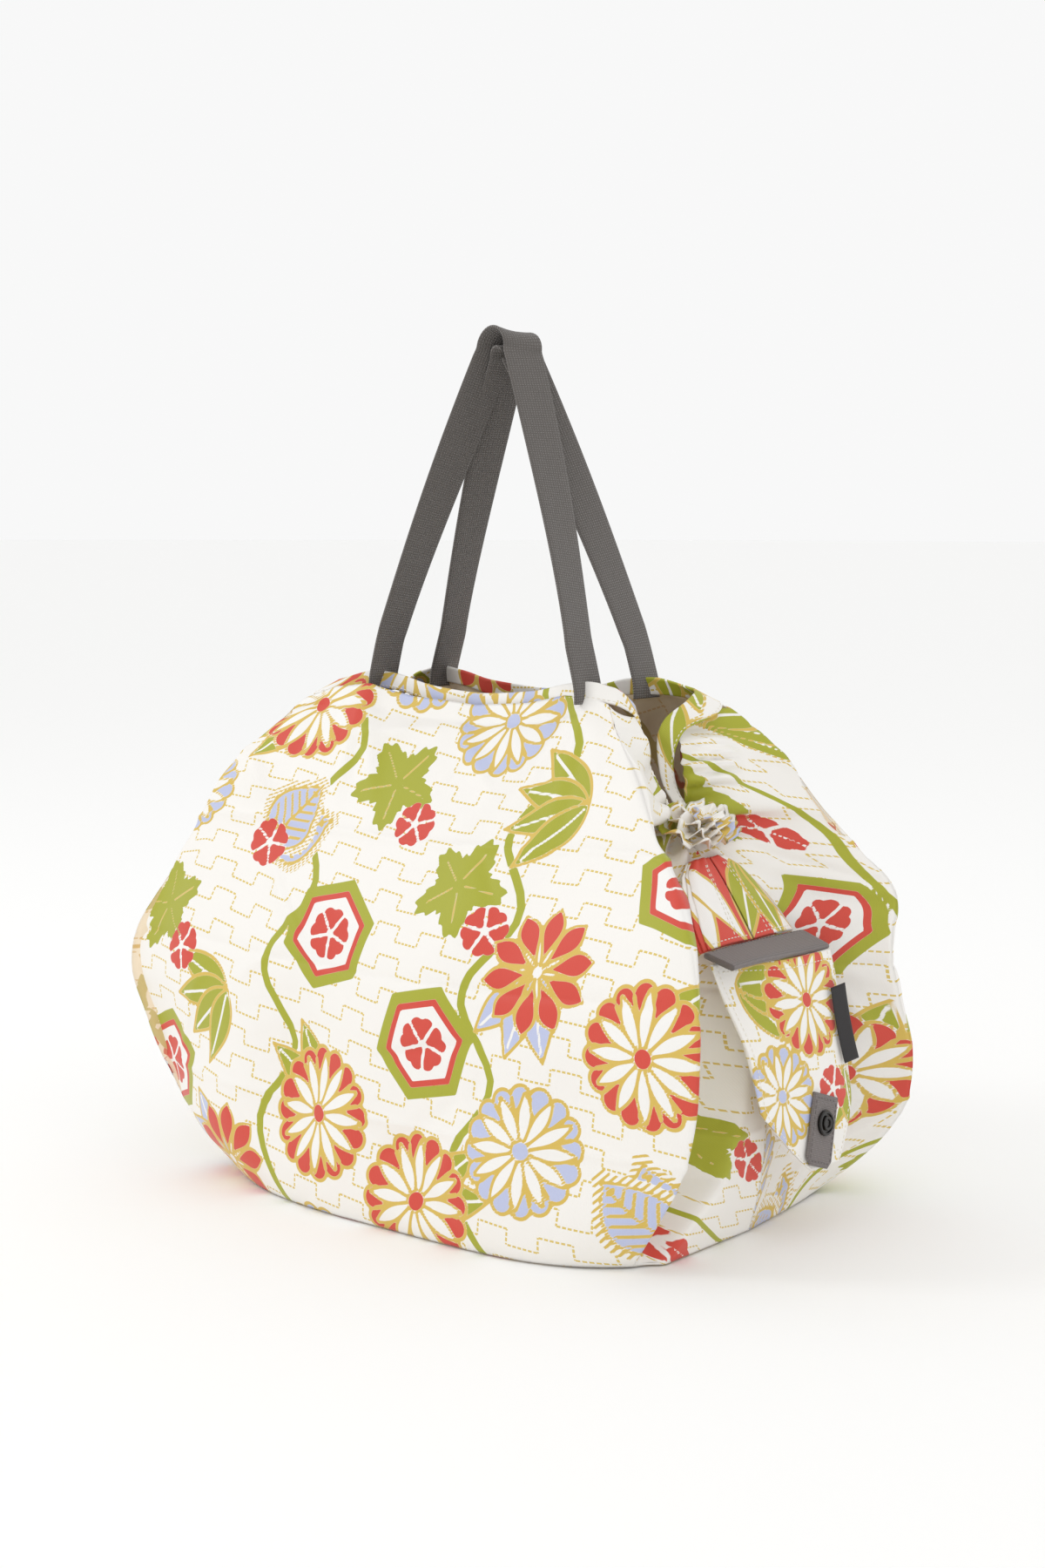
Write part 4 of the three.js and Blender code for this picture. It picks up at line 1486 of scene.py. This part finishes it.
@dataclass
class ClosingStrap:
    """The flap that hangs from the right tape: doubled cloth, a snap tab on its tip, a blank side label."""

    root: tuple[float, float, float] = (199.0, 0.0, 159.7)
    tip: tuple[float, float, float] = (207.7, 15.0, 74.0)
    snap_side: float = 7.0
    snap_drop: float = 9.5
    tab: tuple[float, float, float] = (2.2, 25.0, 41.0)
    tab_roll: float = -0.33
    label: tuple[float, float, float] = (0.8, 10.5, 46.0)
    label_roll: float = 0.2
    label_turn: float = -0.36
    label_lift: float = 4.6
    tip_length: float = 35.0
    root_tuck: float = 17.0

    @property
    def run(self) -> float:
        """Length from the start of the tip to the root."""
        return math.dist(self.root, self.tip)

    def frame_at(self) -> tuple[Array, Array, Array]:
        """Across, up and outward directions of the flat strap."""
        up = unit(np.subtract(self.root, self.tip))
        across = np.array([0.0, 1.0, 0.0])
        out = unit(np.cross(across, up))
        return across, unit(np.cross(out, across)), out

    def place(self, across: Array, up: Array) -> Array:
        """A point of the flat strap: across from its middle line, up from the start of its tip.

        Args:
            across: Distances across from the middle line.
            up: Distances up from the start of the tip.
        Returns:
            Points.
        """
        a, u, _ = self.frame_at()
        aside = self.tip[1]
        shift = aside * (1 - np.clip(up / self.run, -1, 1))
        start = np.array([self.tip[0], 0.0, self.tip[2]])
        return start + across[..., None] * a + up[..., None] * u + shift[..., None] * a

    def build(self, cloth: Cloth, skins: Finishes) -> None:
        """The flap is one sheet whose sides run in to the tip. It bows a little and is top-stitched.

        Args:
            cloth: The print.
            skins: The built materials.
        """
        out, run, low = self.frame_at()[2], self.run, -self.tip_length
        up = np.concatenate([np.linspace(low, 6, 37), np.linspace(6, run - 0.5, 49)[1:]])[:, None]
        share = np.linspace(-1, 1, 73)[None]
        left = np.interp(up, [low, -28, 2, 10, run], [-8, -17, -44, -46, -47])
        right = np.interp(up, [low, -28, 2, 10, 34, run], [18, 24, 45, 48, 52, 47])
        across = (left + right) / 2 + (right - left) / 2 * share
        points = self.place(across, up + 0 * share)
        hang = ease(run - up, 0, run)
        bow = 1.6 * np.sin(across / 15 + up / 40) * hang + 1.0 * np.cos(across / 47 * 1.5) * hang
        curl = -2.2 * np.clip((np.abs(across) - 36) / 12, 0, 1) ** 2 * hang
        held = 1 - np.exp(-(((across - self.snap_side) / 22) ** 2) - ((up + self.snap_drop) / 26) ** 2)
        tuck_in = self.root_tuck * ease(-across, -10, 47) * ease(up, run * 0.35, run)
        points = points + out * ((bow + curl) * held - tuck_in)[..., None]
        points[..., 2] += 0.25 * tuck_in
        flat = np.stack([across, up + 0 * share], -1)
        flap = cloth_piece("closing_strap_cloth", points, flat, cloth, (skins.cloth, skins.cloth), 1.6, 12)
        stands_for(flap, "strap", "printed_cloth", "closing_strap", "strap_tip")
        edges = (points[:, 3], points[:, -4], points[-4, 4:-4], points[6, 3:-3])
        seams = [edge + out * 0.85 for edge in edges]
        stitches = stitch_piece("closing_strap_stitches", seams, skins.thread)
        stands_for(stitches, "strap", "printed_cloth")
        self.build_tab(skins)
        self.build_label(skins)

    def build_tab(self, skins: Finishes) -> None:
        """A short thick band of grosgrain with cut lower corners, square to the snap.

        Args:
            skins: The built materials.
        """
        a_dir, u_dir, out = self.frame_at()
        thick, wide, long = self.tab
        c, s = math.cos(self.tab_roll), math.sin(self.tab_roll)
        across, up = a_dir * c + u_dir * s, u_dir * c - a_dir * s
        snap = self.place(np.array([self.snap_side]), np.array([-self.snap_drop]))[0]
        t = np.linspace(-1, 1, 49)
        middle = snap + out * (1.3 + thick / 2) - up * 4.5
        centre = middle + up * (t * long / 2)[:, None]
        half = wide / 2 - 3.5 * np.clip((-0.8 - t) / 0.2, 0, 1)
        width = np.broadcast_to(across, centre.shape)
        normal = np.broadcast_to(out, centre.shape)
        band = band_piece("snap_tab_band", centre, width, normal, half, thick / 2, None, (skins.tape,))
        stands_for(band, "strap", "grosgrain_tape", "snap_tab")
        corners = [(-1, -1), (1, -1), (1, 1), (-1, 1), (-1, -1)]
        box = np.array([across * (x * 10.2) + up * (y * 18.0) for x, y in corners])
        seam = middle + box + out * (thick / 2 + 0.1)
        stitches = stitch_piece("snap_tab_stitches", [seam[:2], seam[1:3], seam[2:4], seam[3:]], skins.tape)
        stands_for(stitches, "strap", "grosgrain_tape")

    def build_label(self, skins: Finishes) -> None:
        """A blank satin label sewn along the strap's edge, its free end lifting a little.

        Args:
            skins: The built materials.
        """
        a_dir, u_dir, out = self.frame_at()
        thick, wide, long = self.label
        c, s = math.cos(self.label_roll), math.sin(self.label_roll)
        across, up = a_dir * c + u_dir * s, u_dir * c - a_dir * s
        middle = self.place(np.array([42.0]), np.array([self.run * 0.5]))[0]
        t = np.linspace(-1, 1, 33)
        turned = across * math.cos(self.label_turn) - out * math.sin(self.label_turn)
        lift = self.label_lift + 0.9 * t**2
        centre = middle + up * (t * long / 2)[:, None] + out * lift[:, None]
        width = np.broadcast_to(turned, centre.shape)
        normal = np.broadcast_to(unit(np.cross(turned, up)), centre.shape)
        skin = (skins.satin,)
        band = band_piece("side_label_band", centre, width, normal, wide / 2, thick / 2, None, skin, 6)
        stands_for(band, "strap", "woven_label", "side_label")


@dataclass
class Handle:
    """One webbing loop: a single band from one sewn foot over the crest to the other."""

    side: str
    top: float
    crest: float
    bow: float
    sign: int
    x: float = 81.0
    rim: float = 313.0
    hinge: float = 330.0
    foot_y: float = 28.2
    width: float = 25.0
    thick: float = 2.0
    yaw: float = 0.5  # radians that the crest is twisted
    bend: Point = (0.316, 0.344)  # heights in metres between which the web bends onto the loop

    def build(self, skins: Finishes) -> None:
        """The line leans in above the hinge height; the band bends between the bag and the loop there.

        Args:
            skins: The built materials.
        """
        centre_z = self.top - self.thick / 2 - self.crest
        t = np.linspace(0, 1, 60)
        leg = np.stack([
            self.x + (self.crest - self.x) * t**1.1 + self.bow * np.sin(np.pi * t),
            self.rim - 6 + (centre_z - self.rim + 6) * t,
        ], 1)
        foot = np.stack([np.full(5, self.x), np.linspace(self.rim - 12.5, self.rim - 8, 5)], 1)
        angle = np.linspace(0, np.pi / 2, 16)[1:]
        arch = np.stack([self.crest * np.cos(angle), centre_z + self.crest * np.sin(angle)], 1)
        half = np.concatenate([foot, leg, arch])
        line = np.concatenate([half, (half * (-1, 1))[-2::-1]])
        line = smooth_path(line[::2] if len(line) % 2 else line, 301)
        x, z = line[:, 0], line[:, 1]
        lean = math.atan(self.foot_y / (HANDLE_TOP - self.hinge))
        rise = np.maximum(z - self.hinge, 0)
        soft = rise - 4 * (1 - np.exp(-rise / 4))
        y = self.foot_y - soft * math.sin(lean)
        z = np.where(z > self.hinge, self.hinge + (z - self.hinge) * math.cos(lean), z)
        centre = np.stack([x, y * self.sign, z], 1)
        turn = ease(rise, 0, 12) * lean
        width = np.stack([0 * x, np.cos(turn), np.sin(turn) * self.sign], 1)
        tangent = unit(np.gradient(centre, axis=0))
        yaw = self.yaw * ease(z, self.top - 185, self.top - 12)
        width = np.stack([width[:, 0] + np.sin(yaw), width[:, 1] * np.cos(yaw), width[:, 2]], 1)
        width = unit(width - tangent * (width * tangent).sum(1, keepdims=True))
        normal = np.cross(width, tangent)
        normal *= np.sign(normal[len(normal) // 2, 2]) or 1
        band = band_piece(
            self.side + "_handle_web", centre, width, normal, self.width / 2, self.thick / 2, None,
            (skins.webbing,), 6,
        )
        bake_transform(band)
        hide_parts(self.side + "_handle", self.side + "_right_foot", self.side + "_left_foot")
        log.info("%s: %d faces", band.name, len(band.data.polygons))


def dress_snap(skins: Finishes) -> None:
    """Gives the four moulded snap parts their finish.

    Args:
        skins: The built materials.
    """
    for name in ("snap_rivet", "snap_cap", "snap_socket", "snap_stud"):
        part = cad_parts[name]
        part.data.materials.clear()
        part.data.materials.append(skins.acetal)


@dataclass
class Studio:
    """Pale floor, soft lights and the camera."""

    azimuth: float = 40.0
    place: tuple[float, float, float] = (0.900, -1.0725, 0.405)
    pitch: float = 6.5
    lens: float = 52.96
    shift: float = 0.0067
    floor: float = 40.0  # half the floor's size in metres
    sky: float = 0.94
    # name, watts, size, place and what it points at: the key draws the folds, the others open the shade
    lights: tuple = (
        ("key", 7.5, 0.6, (-1.3, -1.6, 1.7), (0, 0, 0.2)),
        ("fill", 1.0, 1.6, (2.2, -0.6, 1.0), (0, 0, 0.2)),
        ("top", 1.6, 1.6, (0.2, 0.6, 2.2), (0, 0, 0.2)),
    )

    def build(self) -> None:
        """A wide flat floor, a large key high on the left, a fill on the right and a bright even sky."""
        paper = Plain("studio_paper", "#FDFDFC", 0.9).build()
        corners = np.array([(-1, -1, 0), (1, -1, 0), (1, 1, 0), (-1, 1, 0)], float) * self.floor / MM
        floor = write_mesh("studio_floor", corners, [[0, 1, 2, 3]], corners[:, :2], None, [paper])
        floor.data.polygons.foreach_set("use_smooth", [False])
        world = bpy.data.worlds.new("studio_sky")
        bpy.context.scene.world = world
        world.use_nodes = True
        sky = world.node_tree.nodes["Background"]
        sky.inputs["Color"].default_value = (1, 1, 1, 1)
        sky.inputs["Strength"].default_value = self.sky
        for name, power, size, spot, aim in self.lights:
            light = bpy.data.lights.new(name, "AREA")
            light.energy, light.size = power, size
            lamp = bpy.data.objects.new(name, light)
            lamp.location = spot
            lamp.rotation_euler = (Vector(aim) - Vector(spot)).to_track_quat("-Z", "Y").to_euler()
            bpy.context.scene.collection.objects.link(lamp)
        camera = bpy.data.cameras.new("camera")
        camera.lens, camera.sensor_width, camera.sensor_fit = self.lens, 36.0, "AUTO"
        camera.shift_x = self.shift
        camera.clip_start, camera.clip_end = 0.05, 50
        eye = bpy.data.objects.new("camera", camera)
        eye.location = self.place
        eye.rotation_euler = (math.radians(90 - self.pitch), 0, math.radians(self.azimuth))
        bpy.context.scene.collection.objects.link(eye)
        bpy.context.scene.camera = eye
        bpy.context.scene.view_settings.view_transform = "Standard"


def main() -> None:
    """Builds the bag's sub-assemblies in order, then the studio."""
    logging.basicConfig(level=logging.INFO, format="%(message)s")
    skins = Finishes()
    roll = Cloth(roll_marks())
    Shell().build(roll, skins)
    Hem().build(roll, skins)
    Gather().build(roll, skins)
    PleatStack().build(Cloth(stack_marks()), skins)
    EndTape().build(skins)
    ClosingStrap().build(Cloth(strap_marks()), skins)
    Handle("front", HANDLE_TOP, 10.5, 2.0, -1).build(skins)
    Handle("back", 511.5, 4.6, 1.0, 1).build(skins)
    dress_snap(skins)
    Studio().build()


if __name__ == "__main__":
    main()
